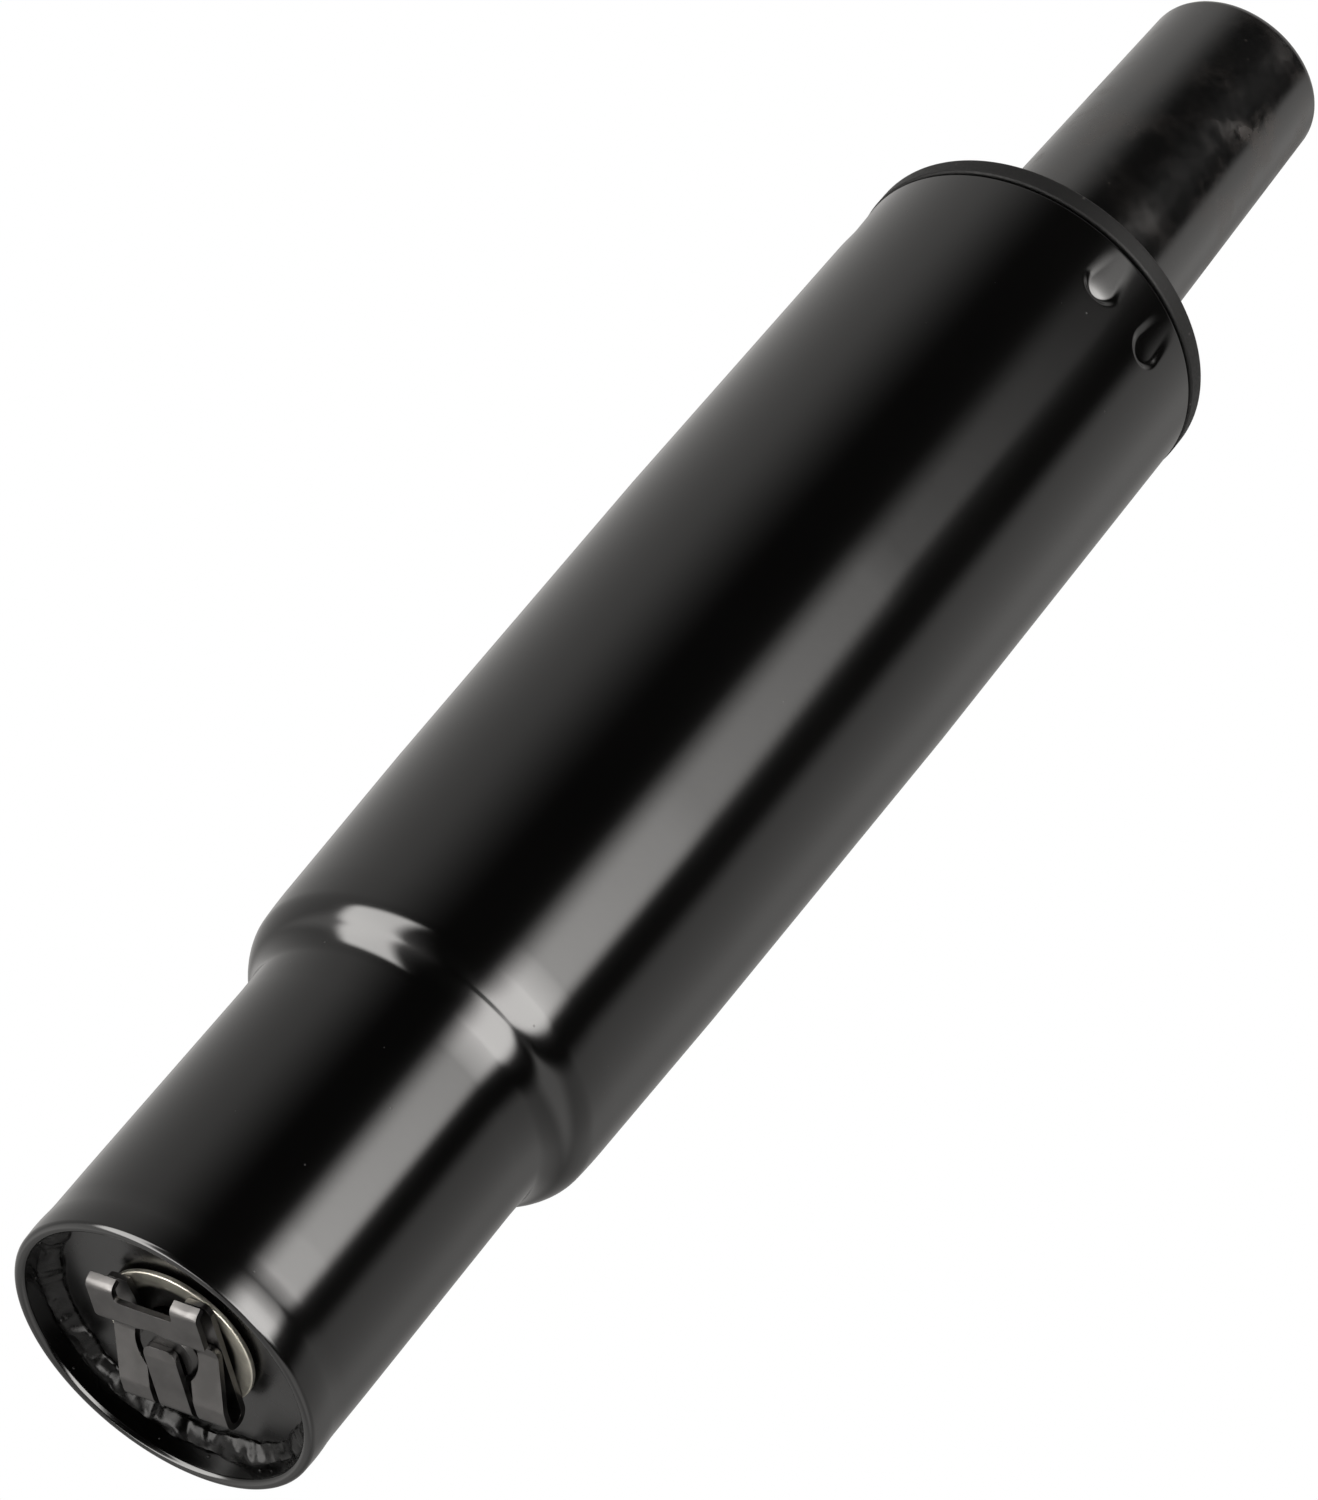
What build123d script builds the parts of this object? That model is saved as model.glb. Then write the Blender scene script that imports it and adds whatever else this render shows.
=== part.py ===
"""Gas lift cylinder of an office chair, shown at its shortest.

The axis of the column is Z and the origin is the centre of the rim that it stands on. The column holds a
guide bush at the top and a thrust bearing on the base plate. The piston rod turns in that bearing and is held
by a spring clip under the plate. The lift tube, a gas spring, slides up the rod. All lengths are millimetres.
"""

import os
from math import cos, radians, sin

from build123d import *

# Column
body_diameter = 50.0
column_wall = 1.5
column_length = 195.7
neck_length = 48.0
shoulder_step = 3.6
shoulder_height = 4.4
taper_length = 56.0
taper_share = 1 / 20
mouth_edge = 0.6

# Rolled rim at the foot of the neck
rim_swell = 0.15
rim_height = 2.5
rim_edge = 0.5
rim_groove_depth = 0.4
rim_groove_height = 5.3
rim_blend_height = 8.0

# Crimp dimples near the mouth, in pairs
dimple_pair_count = 3
first_pair_angle = 21.2
dimple_pair_spread = 23.3
dimple_width = 5.6
dimple_depth = 0.9
dimple_ramp = 4.7
dimple_drop = 8.9

# Base plate and its weld
plate_recess = 4.7
plate_thickness = 4.0
weld_reach = 2.1
weld_height = 1.8
weld_crown = 0.35

# Guide bush, whose flange is the collar
collar_overhang = 0.15
collar_height = 3.4
collar_edge = 0.5
bush_length = 80.7
bush_bore_wall = 2.0
bush_skirt_length = 22.0
bush_skirt_wall = 2.0
bush_foot_height = 3.0
bush_rib_count = 8
bush_rib_thickness = 1.8
bush_groove_margin = 0.15

# Thrust bearing
race_diameter = 24.0
race_thickness = 2.2
race_bore_gap = 0.7
ball_count = 9
ball_diameter = 4.0
ball_circle_diameter = 16.5
ball_groove_depth = 0.4
ball_clearance = 0.05
cage_thickness = 1.4
cage_land = 0.8
pocket_clearance = 0.15
thrust_washer_diameter = 20.0
thrust_washer_thickness = 1.0

# Piston rod
rod_diameter = 10.0
rod_spigot_diameter = 8.0
rod_tip_edge = 0.5
rod_tip_stand = 0.7
clip_groove_diameter = 6.2
tenon_diameter = 6.0
rivet_diameter = 8.4
rivet_height = 1.6

# Rubber bumper
bumper_diameter = 19.0
bumper_height = 13.0
bumper_waist = 1.2
bumper_gap = 0.3

# Clip washer and retaining clip
washer_sheet = 0.7
washer_dish = 0.5
washer_diameter = 19.6
washer_flat_diameter = 14.8
washer_bore_gap = 0.2
clip_sheet = 0.75
clip_recess = 0.1
clip_leaf_gap = 0.1
fold_round_share = 0.96
clip_groove_gap = 0.05
clip_turn = 38.0
clip_side_play = 0.35
clip_width = 14.5
clip_fold_reach = 9.6
clip_rear_length = 8.05
clip_corner = 1.2
leg_flat_reach = 6.2
leg_dip_start = 1.0
leg_dip_end = 2.9
leg_top = 2.2
waist_width = 10.4
crossbar_start = 3.9
crossbar_end = 7.3
ear_reach = 9.3
ear_width = 15.2
ear_notch_width = 8.0
ear_lean = 0.4
ear_flange = 1.1
clip_soft_bend = 2.0
clip_sharp_bend = 0.6
keyhole_clearance = 0.4
channel_width = 6.1
channel_foot = 6.0
mouth_width = 8.0
mouth_depth = 2.6
slot_clearance = 0.4
tongue_width = 4.5
tongue_knee = 0.4
tongue_end = 1.1
tongue_corner = 1.3
tongue_knee_set = 0.1

# Lift tube
lift_tube_diameter = 28.0
lift_tube_wall = 1.5
closed_length = 257.0
seat_cone_length = 48.0
stroke = 100.0
end_lip = 4.5

# Bottom end of the gas spring
seal_support_thickness = 2.0
rod_seal_height = 5.5
seal_lip_depth = 2.2
seal_lip_width = 1.6
rod_guide_height = 16.0
rod_guide_neck = 4.0
gas_slot_count = 4
gas_slot_width = 2.0
gas_slot_depth = 1.2

# Working cylinder and piston
gas_channel = 1.5
inner_cylinder_wall = 1.0
piston_height = 8.0
piston_end_gap = 0.3
piston_clearance = 0.1
piston_washer_diameter = 16.0
piston_washer_thickness = 1.5
guide_ring_height = 2.2
guide_ring_thickness = 1.0

# Valve at the top of the gas spring
top_plug_height = 9.5
spacer_height = 4.0
spacer_wall = 5.5
valve_height = 16.0
valve_spigot_height = 4.0
valve_port_diameter = 1.6
valve_port_rise = 3.2
valve_seal_count = 2
first_seal_rise = 8.0
seal_pitch = 4.4
release_pin_diameter = 3.0
poppet_diameter = 5.2
poppet_height = 2.0
poppet_gap = 0.4
button_diameter = 8.0
button_length = 13.0
button_rise = 6.0
button_edge = 0.8
pin_insert = 4.0

# Shared by several pieces
slide_clearance = 0.06
fit_clearance = 0.05
seal_section = 1.8
machined_edge = 0.4
overrun = 1.0

# Column radii
body_radius = body_diameter / 2
bore_radius = body_radius - column_wall
taper_small_radius = body_radius - taper_length * taper_share / 2
neck_radius = taper_small_radius - shoulder_step
neck_bore_radius = neck_radius - column_wall
taper_bottom = neck_length + shoulder_height
taper_top = taper_bottom + taper_length
collar_radius = body_radius + collar_overhang
dimple_bottom = column_length - dimple_drop

# Stack on the base plate
plate_top = plate_recess + plate_thickness
lower_race_top = plate_top + race_thickness
ball_radius = ball_diameter / 2
ball_height = lower_race_top - ball_groove_depth + ball_clearance + ball_radius
upper_race_bottom = 2 * ball_height - lower_race_top
upper_race_top = upper_race_bottom + race_thickness
rod_shoulder = upper_race_top + thrust_washer_thickness
bumper_top = rod_shoulder + bumper_height
lift_tube_bottom = bumper_top + bumper_gap

# Stack under the base plate
washer_face = plate_recess - washer_sheet
washer_rim = washer_face - washer_dish
clip_rear_face = washer_rim - clip_sheet
leg_dip_face = clip_rear_face - clip_leaf_gap - clip_sheet
rod_tip = leg_dip_face - rod_tip_stand

# Stack in the gas spring
seal_support_bottom = lift_tube_bottom + lift_tube_wall
rod_seal_bottom = seal_support_bottom + seal_support_thickness
rod_guide_bottom = rod_seal_bottom + rod_seal_height
rod_guide_top = rod_guide_bottom + rod_guide_height
cylinder_bottom = rod_guide_top - rod_guide_neck
piston_bottom = rod_guide_top + stroke + piston_end_gap
piston_top = piston_bottom + piston_height
piston_seal_height = piston_bottom + piston_height / 4
guide_ring_bottom = piston_top - piston_height / 4 - guide_ring_height / 2
rivet_bottom = piston_top + piston_washer_thickness
seat_cone_bottom = closed_length - seat_cone_length
top_plug_top = closed_length - lift_tube_wall
top_plug_bottom = top_plug_top - top_plug_height
valve_top = top_plug_bottom - spacer_height
valve_bottom = valve_top - valve_height
valve_spigot_bottom = valve_bottom - valve_spigot_height
poppet_top = valve_spigot_bottom - poppet_gap
button_bottom = closed_length + button_rise - button_length

# Radii of the rod and of what slides on it
rod_radius = rod_diameter / 2
spigot_radius = rod_spigot_diameter / 2
tube_radius = lift_tube_diameter / 2
tube_bore_radius = tube_radius - lift_tube_wall
cylinder_radius = tube_bore_radius - gas_channel
cylinder_bore_radius = cylinder_radius - inner_cylinder_wall
piston_ring_radius = cylinder_bore_radius - fit_clearance
plug_narrowing = (top_plug_top - seat_cone_bottom) * taper_share / 2
valve_radius = tube_bore_radius - plug_narrowing - fit_clearance
button_radius = button_diameter / 2
pin_radius = release_pin_diameter / 2
seal_radius = seal_section / 2


def turned(*outline):
    """Solid turned about the axis from (radius, height) points."""
    return revolve(Plane.XZ * make_face(Polyline(*outline, close=True)), Axis.Z)


def ring(bore, outside, bottom, top, edge=0):
    """Turned ring, with its two outer corners bevelled by edge."""
    if not edge:
        return turned((bore, bottom), (outside, bottom), (outside, top), (bore, top))
    return turned(
        (bore, bottom),
        (outside - edge, bottom),
        (outside, bottom + edge),
        (outside, top - edge),
        (outside - edge, top),
        (bore, top),
    )


def seal_ring(outside, height):
    """Rubber ring of round section that reaches the given radius."""
    return Pos(0, 0, height) * Torus(outside - seal_radius, seal_radius)


def seal_groove(outside, height):
    """Groove that a rubber ring of the given outside radius sits in."""
    floor = outside - seal_section
    half_height = seal_radius + fit_clearance
    return ring(floor, outside + overrun, height - half_height, height + half_height)


def rounded_block(width, depth, height, corner):
    """Block with rounded upright edges, centred on the axis and standing on zero."""
    return extrude(RectangleRounded(width, depth, corner), amount=height)


def column_bore_radius(height):
    """Radius of the column's bore above the shoulder."""
    below = max(taper_top - height, 0)
    return bore_radius - below * taper_share / 2


def lift_tube_radius(height):
    """Outside radius of the lift tube, which narrows along the seat cone."""
    above = max(height - seat_cone_bottom, 0)
    return tube_radius - above * taper_share / 2


def shoulder_points():
    """Where the two arcs of the shoulder meet, on the outside and in the bore."""
    arc_radius = (shoulder_step**2 + shoulder_height**2) / (4 * shoulder_step)
    middle_radius = (neck_radius + taper_small_radius) / 2
    middle_height = neck_length + shoulder_height / 2
    across = (middle_radius - neck_radius - arc_radius) / arc_radius
    along = shoulder_height / 2 / arc_radius
    outside = (middle_radius, middle_height)
    inside = (middle_radius + column_wall * across, middle_height + column_wall * along)
    return outside, inside


def column_outline():
    """Half section of the column tube, from the rim to the mouth and back down the bore."""
    lip = neck_radius + rim_swell
    groove = neck_radius - rim_groove_depth
    outer_meet, inner_meet = shoulder_points()
    taper_bore = taper_small_radius - column_wall
    up, down = (0, 1), (0, -1)
    edges = [
        Line((neck_bore_radius + rim_edge, 0), (lip - rim_edge, 0)),
        TangentArc((lip - rim_edge, 0), (lip, rim_edge), tangent=(1, 0)),
        Line((lip, rim_edge), (lip, rim_height)),
        Spline(
            (lip, rim_height),
            (groove, rim_groove_height),
            (neck_radius, rim_blend_height),
            tangents=(up, up),
        ),
        Line((neck_radius, rim_blend_height), (neck_radius, neck_length)),
        TangentArc((neck_radius, neck_length), outer_meet, tangent=up),
        TangentArc((taper_small_radius, taper_bottom), outer_meet, tangent=down),
        Line((taper_small_radius, taper_bottom), (body_radius, taper_top)),
        Line((body_radius, taper_top), (body_radius, column_length - mouth_edge)),
        TangentArc(
            (body_radius, column_length - mouth_edge),
            (body_radius - mouth_edge, column_length),
            tangent=up,
        ),
        Line((body_radius - mouth_edge, column_length), (bore_radius, column_length)),
        Line((bore_radius, column_length), (bore_radius, taper_top)),
        Line((bore_radius, taper_top), (taper_bore, taper_bottom)),
        TangentArc((taper_bore, taper_bottom), inner_meet, tangent=down),
        TangentArc((neck_bore_radius, neck_length), inner_meet, tangent=up),
        Line((neck_bore_radius, neck_length), (neck_bore_radius, rim_edge)),
        TangentArc((neck_bore_radius, rim_edge), (neck_bore_radius + rim_edge, 0), tangent=down),
    ]
    return make_face(edges)


def dimple_wedge(face_radius, outer_radius):
    """Ramp that a crimping punch leaves behind: deepest at its round lower edge, nothing at the top."""
    ramp_top = dimple_bottom + dimple_ramp
    ramp = Polyline(
        (face_radius - dimple_depth, dimple_bottom),
        (outer_radius, dimple_bottom),
        (outer_radius, ramp_top),
        (face_radius, ramp_top),
        close=True,
    )
    wedge = extrude(Plane.XZ * make_face(ramp), amount=dimple_width, both=True)
    half_width = dimple_width / 2
    punch_end = Pos(0, dimple_bottom + half_width) * Circle(half_width)
    shank = Pos(0, dimple_bottom + half_width) * Rectangle(
        dimple_width, dimple_ramp, align=(Align.CENTER, Align.MIN)
    )
    punch = extrude(Plane.YZ * (punch_end + shank), amount=outer_radius + overrun)
    return wedge & punch


def dimple_turns():
    """Turns about the axis that carry a dimple from the +X side to its place."""
    for pair in range(dimple_pair_count):
        middle = first_pair_angle - 90 + pair * 360 / dimple_pair_count
        for side in (-1, 1):
            yield Rot(0, 0, middle + side * dimple_pair_spread / 2)


def make_column_tube():
    tube = revolve(Plane.XZ * column_outline(), Axis.Z)
    bump = dimple_wedge(bore_radius, body_radius - dimple_depth)
    pocket = dimple_wedge(body_radius, body_radius + overrun)
    for turn in dimple_turns():
        tube = tube + turn * bump
        tube = tube - turn * pocket
    return tube


def make_base_plate():
    bore = spigot_radius + fit_clearance
    return ring(bore, neck_bore_radius, plate_recess, plate_top)


def make_weld_bead():
    """Bead in the corner between the base plate and the neck, with a full crown."""
    corner = (neck_bore_radius, plate_recess)
    foot = (neck_bore_radius - weld_reach, plate_recess)
    toe = (neck_bore_radius, plate_recess - weld_height)
    crown = SagittaArc(foot, toe, -weld_crown)
    return revolve(Plane.XZ * make_face([Line(corner, foot), crown, Line(toe, corner)]), Axis.Z)


def make_guide_bush():
    """Bush with a flange on top, a skirt behind the dimples, a long bore and ribs down to a foot ring."""
    bush_bottom = column_length - bush_length
    collar_top = column_length + collar_height
    skirt_bottom = column_length - bush_skirt_length
    bore = tube_radius + slide_clearance
    bore_outside = bore + bush_bore_wall
    skirt_radius = bore_radius - fit_clearance
    foot_radius = column_bore_radius(bush_bottom) - fit_clearance
    rib_reach = foot_radius - bush_skirt_wall / 2
    bush = ring(bore, bore_outside, bush_bottom, collar_top - collar_edge)
    bush += turned(
        (bore + collar_edge / 2, collar_top),
        (bore, collar_top - collar_edge / 2),
        (bore, column_length),
        (collar_radius - collar_edge / 2, column_length),
        (collar_radius, column_length + collar_edge / 2),
        (collar_radius, collar_top - collar_edge),
        (collar_radius - collar_edge, collar_top),
    )
    bush += ring(skirt_radius - bush_skirt_wall, skirt_radius, skirt_bottom, column_length)
    bush += ring(bore, foot_radius, bush_bottom, bush_bottom + bush_foot_height)
    rib_inside = bore + bush_bore_wall / 2
    rib = Pos(rib_inside, 0, bush_bottom) * Box(
        rib_reach - rib_inside,
        bush_rib_thickness,
        bush_length,
        align=(Align.MIN, Align.CENTER, Align.MIN),
    )
    for index in range(bush_rib_count):
        bush += Rot(0, 0, index * 360 / bush_rib_count) * rib
    groove_floor = bore_radius - dimple_depth - bush_groove_margin
    groove_bottom = dimple_bottom - bush_groove_margin
    groove_top = dimple_bottom + dimple_ramp + bush_groove_margin
    return bush - ring(groove_floor, skirt_radius + overrun, groove_bottom, groove_top)


def ball_track():
    """Path swept by the balls, with their running clearance."""
    return Pos(0, 0, ball_height) * Torus(ball_circle_diameter / 2, ball_radius + ball_clearance)


def make_lower_race():
    bore = spigot_radius + race_bore_gap
    return ring(bore, race_diameter / 2, plate_top, lower_race_top, machined_edge) - ball_track()


def make_upper_race():
    race = ring(spigot_radius, race_diameter / 2, upper_race_bottom, upper_race_top, machined_edge)
    return race - ball_track()


def ball_places():
    """Centres of the balls round their circle."""
    for index in range(ball_count):
        angle = radians(index * 360 / ball_count)
        reach = ball_circle_diameter / 2
        yield Pos(reach * cos(angle), reach * sin(angle), ball_height)


def make_ball_cage():
    half_band = ball_radius + pocket_clearance + cage_land
    middle = ball_circle_diameter / 2
    cage_bottom = ball_height - cage_thickness / 2
    cage = ring(middle - half_band, middle + half_band, cage_bottom, cage_bottom + cage_thickness)
    for place in ball_places():
        cage -= place * Cylinder(ball_radius + pocket_clearance, ball_diameter)
    return cage


def make_bearing_balls():
    return Compound([place * Sphere(ball_radius) for place in ball_places()])


def make_thrust_washer():
    outside = thrust_washer_diameter / 2
    return ring(spigot_radius, outside, upper_race_top, rod_shoulder, machined_edge / 2)


def make_rubber_bumper():
    outside = bumper_diameter / 2
    quarter = bumper_height / 4
    return turned(
        (rod_radius, rod_shoulder),
        (outside - machined_edge, rod_shoulder),
        (outside, rod_shoulder + machined_edge),
        (outside, rod_shoulder + quarter),
        (outside - bumper_waist, rod_shoulder + 2 * quarter),
        (outside, rod_shoulder + 3 * quarter),
        (outside, bumper_top - machined_edge),
        (outside - machined_edge, bumper_top),
        (rod_radius, bumper_top),
    )


def make_piston_rod():
    """Rod with its clip groove and tip below, and the riveted tenon of the piston on top."""
    groove = clip_groove_diameter / 2
    groove_bottom = clip_rear_face - clip_groove_gap
    groove_top = washer_rim + clip_groove_gap
    tenon = tenon_diameter / 2
    rivet = rivet_diameter / 2
    rivet_top = rivet_bottom + rivet_height
    return turned(
        (0, rod_tip),
        (spigot_radius - rod_tip_edge, rod_tip),
        (spigot_radius, rod_tip + rod_tip_edge),
        (spigot_radius, groove_bottom),
        (groove, groove_bottom),
        (groove, groove_top),
        (spigot_radius, groove_top),
        (spigot_radius, rod_shoulder),
        (rod_radius, rod_shoulder),
        (rod_radius, piston_bottom),
        (tenon, piston_bottom),
        (tenon, rivet_bottom),
        (rivet, rivet_bottom),
        (rivet, rivet_top - machined_edge),
        (rivet - machined_edge, rivet_top),
        (0, rivet_top),
    )


def make_clip_washer():
    """Thin washer whose rim is dished down to the clip."""
    bore = spigot_radius + washer_bore_gap
    flat = washer_flat_diameter / 2
    outside = washer_diameter / 2
    return turned(
        (bore, washer_face),
        (flat, washer_face),
        (outside, washer_rim),
        (outside, washer_rim + washer_sheet),
        (flat, plate_recess),
        (bore, plate_recess),
    )


def clip_strip(route, bends, width):
    """Strip of the clip's sheet along a side view of (reach, height) points, in its own frame."""
    side_view = trace(FilletPolyline(*route, radius=bends), line_width=clip_sheet)
    return extrude(Plane.YZ * side_view, amount=width / 2, both=True)


def clip_slab(near, far, width, bottom, top, corner=0):
    """Upright block between two reaches of the clip, used to trim or cut its strips."""
    if not corner:
        block = Box(width, far - near, top - bottom, align=(Align.CENTER, Align.CENTER, Align.MIN))
    else:
        block = rounded_block(width, far - near, top - bottom, corner)
    return Pos(0, (near + far) / 2, bottom) * block


def make_retaining_clip():
    """Hairpin of spring sheet: a slotted rear leaf in the rod's groove, and a front leaf round its tip.

    Reach is measured from the rod's axis towards the fold, so the ears are at negative reach.
    """
    half_sheet = clip_sheet / 2
    rear = clip_rear_face + half_sheet
    front = clip_recess + half_sheet
    dip = leg_dip_face + half_sheet
    fold = clip_fold_reach - half_sheet
    fold_bend = (rear - front) / 2 * fold_round_share
    tongue_tip = rod_tip - half_sheet
    leaves = clip_strip(
        [
            (-clip_rear_length, rear),
            (fold, rear),
            (fold, front),
            (leg_flat_reach, front),
            (-leg_dip_start, dip),
            (-leg_dip_end, dip),
            (-crossbar_start, front),
            (ear_lean - ear_reach, front),
            (-ear_reach, front + ear_flange),
        ],
        [
            fold_bend,
            fold_bend,
            clip_soft_bend,
            clip_soft_bend,
            clip_sharp_bend,
            clip_sharp_bend,
            clip_sharp_bend,
        ],
        ear_width,
    )
    split = clip_rear_face - clip_leaf_gap / 2
    below = clip_recess - overrun
    above = washer_rim + overrun
    past_fold = clip_fold_reach + clip_corner + overrun
    past_ears = -ear_reach - clip_corner - overrun
    waist_top = -leg_dip_start - clip_corner
    front_outline = clip_slab(-leg_top, past_fold, clip_width, below, split, clip_corner)
    front_outline += clip_slab(-crossbar_start - clip_corner, waist_top, waist_width, below, split)
    front_outline += clip_slab(past_ears, -crossbar_start, ear_width, below, split, clip_corner / 2)
    rear_outline = clip_slab(-clip_rear_length, past_fold, clip_width, split, above, clip_corner)
    keyhole_radius = spigot_radius + keyhole_clearance
    front_outline -= Pos(0, 0, below) * Cylinder(
        keyhole_radius, split - below, align=(Align.CENTER, Align.CENTER, Align.MIN)
    )
    front_outline -= clip_slab(0, past_fold, channel_width, below, split)
    front_outline -= clip_slab(past_ears, -crossbar_end, ear_notch_width, below, split, clip_corner / 2)
    slot_width = clip_groove_diameter + 2 * slot_clearance
    rear_outline -= clip_slab(-clip_rear_length - overrun, 0, slot_width, split, above)
    rear_outline -= Pos(0, 0, split) * Cylinder(
        slot_width / 2, above - split, align=(Align.CENTER, Align.CENTER, Align.MIN)
    )
    rear_outline -= clip_slab(channel_foot, past_fold, channel_width, split, above)
    mouth = Polyline(
        (-mouth_width / 2, -clip_rear_length - overrun),
        (mouth_width / 2, -clip_rear_length - overrun),
        (mouth_width / 2, -clip_rear_length),
        (slot_width / 2, -clip_rear_length + mouth_depth),
        (-slot_width / 2, -clip_rear_length + mouth_depth),
        (-mouth_width / 2, -clip_rear_length),
        close=True,
    )
    rear_outline -= Pos(0, 0, split) * extrude(make_face(mouth), amount=above - split)
    clip = leaves & (front_outline + rear_outline)
    tongue = clip_strip(
        [
            (channel_foot - overrun, rear),
            (fold, rear),
            (fold, front),
            (tongue_knee, front + tongue_knee_set),
            (-tongue_end, tongue_tip),
        ],
        [fold_bend, fold_bend, clip_soft_bend],
        tongue_width,
    )
    tongue &= clip_slab(-tongue_end, past_fold, tongue_width, below, above, tongue_corner)
    return Rot(0, 0, -clip_turn) * Pos(-clip_side_play, 0, 0) * (clip + tongue)


def make_pressure_tube():
    """Lift tube, rolled in at both ends, with the seat cone at its top."""
    wall = lift_tube_wall
    top_radius = lift_tube_radius(closed_length - wall)
    lip_bore = tube_bore_radius - end_lip
    top_lip_bore = top_radius - wall - end_lip
    edges = [
        Line((lip_bore, lift_tube_bottom), (tube_radius - wall, lift_tube_bottom)),
        TangentArc(
            (tube_radius - wall, lift_tube_bottom),
            (tube_radius, lift_tube_bottom + wall),
            tangent=(1, 0),
        ),
        Line((tube_radius, lift_tube_bottom + wall), (tube_radius, seat_cone_bottom)),
        Line((tube_radius, seat_cone_bottom), (top_radius, closed_length - wall)),
        TangentArc(
            (top_radius, closed_length - wall), (top_radius - wall, closed_length), tangent=(0, 1)
        ),
        Polyline(
            (top_radius - wall, closed_length),
            (top_lip_bore, closed_length),
            (top_lip_bore, closed_length - wall),
            (top_radius - wall, closed_length - wall),
            (tube_bore_radius, seat_cone_bottom),
            (tube_bore_radius, lift_tube_bottom + wall),
            (lip_bore, lift_tube_bottom + wall),
            (lip_bore, lift_tube_bottom),
        ),
    ]
    return revolve(Plane.XZ * make_face(edges), Axis.Z)


def make_seal_support_washer():
    bore = rod_radius + fit_clearance
    return ring(bore, tube_bore_radius, seal_support_bottom, rod_seal_bottom)


def make_rod_seal():
    """Rubber seal with a groove between its lips, open to the gas above."""
    bore = rod_radius + fit_clearance / 2
    middle = (bore + tube_bore_radius) / 2
    return turned(
        (bore, rod_seal_bottom),
        (tube_bore_radius, rod_seal_bottom),
        (tube_bore_radius, rod_guide_bottom),
        (middle + seal_lip_width / 2, rod_guide_bottom),
        (middle, rod_guide_bottom - seal_lip_depth),
        (middle - seal_lip_width / 2, rod_guide_bottom),
        (bore, rod_guide_bottom),
    )


def make_rod_guide():
    """Guide that the working cylinder stands on, slotted so that gas passes under the cylinder's end."""
    neck = cylinder_bore_radius - fit_clearance
    guide = turned(
        (rod_radius + fit_clearance, rod_guide_bottom),
        (tube_bore_radius - fit_clearance, rod_guide_bottom),
        (tube_bore_radius - fit_clearance, cylinder_bottom),
        (neck, cylinder_bottom),
        (neck, rod_guide_top - machined_edge),
        (neck - machined_edge, rod_guide_top),
        (rod_radius + fit_clearance, rod_guide_top),
    )
    slot_inside = neck - gas_slot_depth
    slot = Pos(slot_inside, 0, cylinder_bottom - gas_slot_depth) * Box(
        tube_radius - slot_inside,
        gas_slot_width,
        rod_guide_neck + gas_slot_depth + overrun,
        align=(Align.MIN, Align.CENTER, Align.MIN),
    )
    for index in range(gas_slot_count):
        guide -= Rot(0, 0, index * 360 / gas_slot_count) * slot
    return guide


def make_inner_cylinder():
    return ring(cylinder_bore_radius, cylinder_radius, cylinder_bottom, valve_bottom)


def make_piston_body():
    outside = cylinder_bore_radius - piston_clearance
    body = ring(tenon_diameter / 2, outside, piston_bottom, piston_top, machined_edge)
    body -= seal_groove(piston_ring_radius, piston_seal_height)
    ring_floor = piston_ring_radius - guide_ring_thickness
    band_top = guide_ring_bottom + guide_ring_height
    return body - ring(ring_floor, outside + overrun, guide_ring_bottom, band_top)


def make_piston_guide_ring():
    inside = piston_ring_radius - guide_ring_thickness
    return ring(inside, piston_ring_radius, guide_ring_bottom, guide_ring_bottom + guide_ring_height)


def make_piston_seal():
    return seal_ring(piston_ring_radius, piston_seal_height)


def make_piston_washer():
    return ring(tenon_diameter / 2, piston_washer_diameter / 2, piston_top, rivet_bottom)


def valve_seal_places():
    """Height and outside radius of each rubber ring round the valve."""
    for index in range(valve_seal_count):
        height = valve_bottom + first_seal_rise + index * seal_pitch
        yield lift_tube_radius(height + seal_radius) - lift_tube_wall, height


def make_valve_body():
    """Valve with a spigot in the working cylinder, a gas port below its seals and a bore for the pin."""
    bore = pin_radius + fit_clearance
    spigot = cylinder_bore_radius - fit_clearance
    body = turned(
        (bore, valve_spigot_bottom),
        (spigot - machined_edge, valve_spigot_bottom),
        (spigot, valve_spigot_bottom + machined_edge),
        (spigot, valve_bottom),
        (valve_radius, valve_bottom),
        (valve_radius, valve_top),
        (bore, valve_top),
    )
    port = Rot(0, 90, 0) * Cylinder(
        valve_port_diameter / 2, valve_radius + overrun, align=(Align.CENTER, Align.CENTER, Align.MIN)
    )
    body -= Pos(0, 0, valve_bottom + valve_port_rise) * port
    for outside, height in valve_seal_places():
        body -= seal_groove(outside, height)
    return body


def make_valve_seals():
    return Compound([seal_ring(outside, height) for outside, height in valve_seal_places()])


def make_spacer_sleeve():
    return ring(valve_radius - spacer_wall, valve_radius, valve_top, top_plug_bottom)


def make_top_plug():
    return ring(button_radius + fit_clearance, valve_radius, top_plug_bottom, top_plug_top)


def make_release_pin():
    poppet = poppet_diameter / 2
    poppet_bottom = poppet_top - poppet_height
    return turned(
        (0, poppet_bottom),
        (poppet, poppet_bottom),
        (poppet, poppet_top - machined_edge),
        (pin_radius, poppet_top),
        (pin_radius, button_bottom + pin_insert),
        (0, button_bottom + pin_insert),
    )


def make_release_button():
    button_top = closed_length + button_rise
    return turned(
        (pin_radius, button_bottom),
        (button_radius - machined_edge, button_bottom),
        (button_radius, button_bottom + machined_edge),
        (button_radius, button_top - button_edge),
        (button_radius - button_edge, button_top),
        (0, button_top),
        (0, button_bottom + pin_insert),
        (pin_radius, button_bottom + pin_insert),
    )


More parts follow.
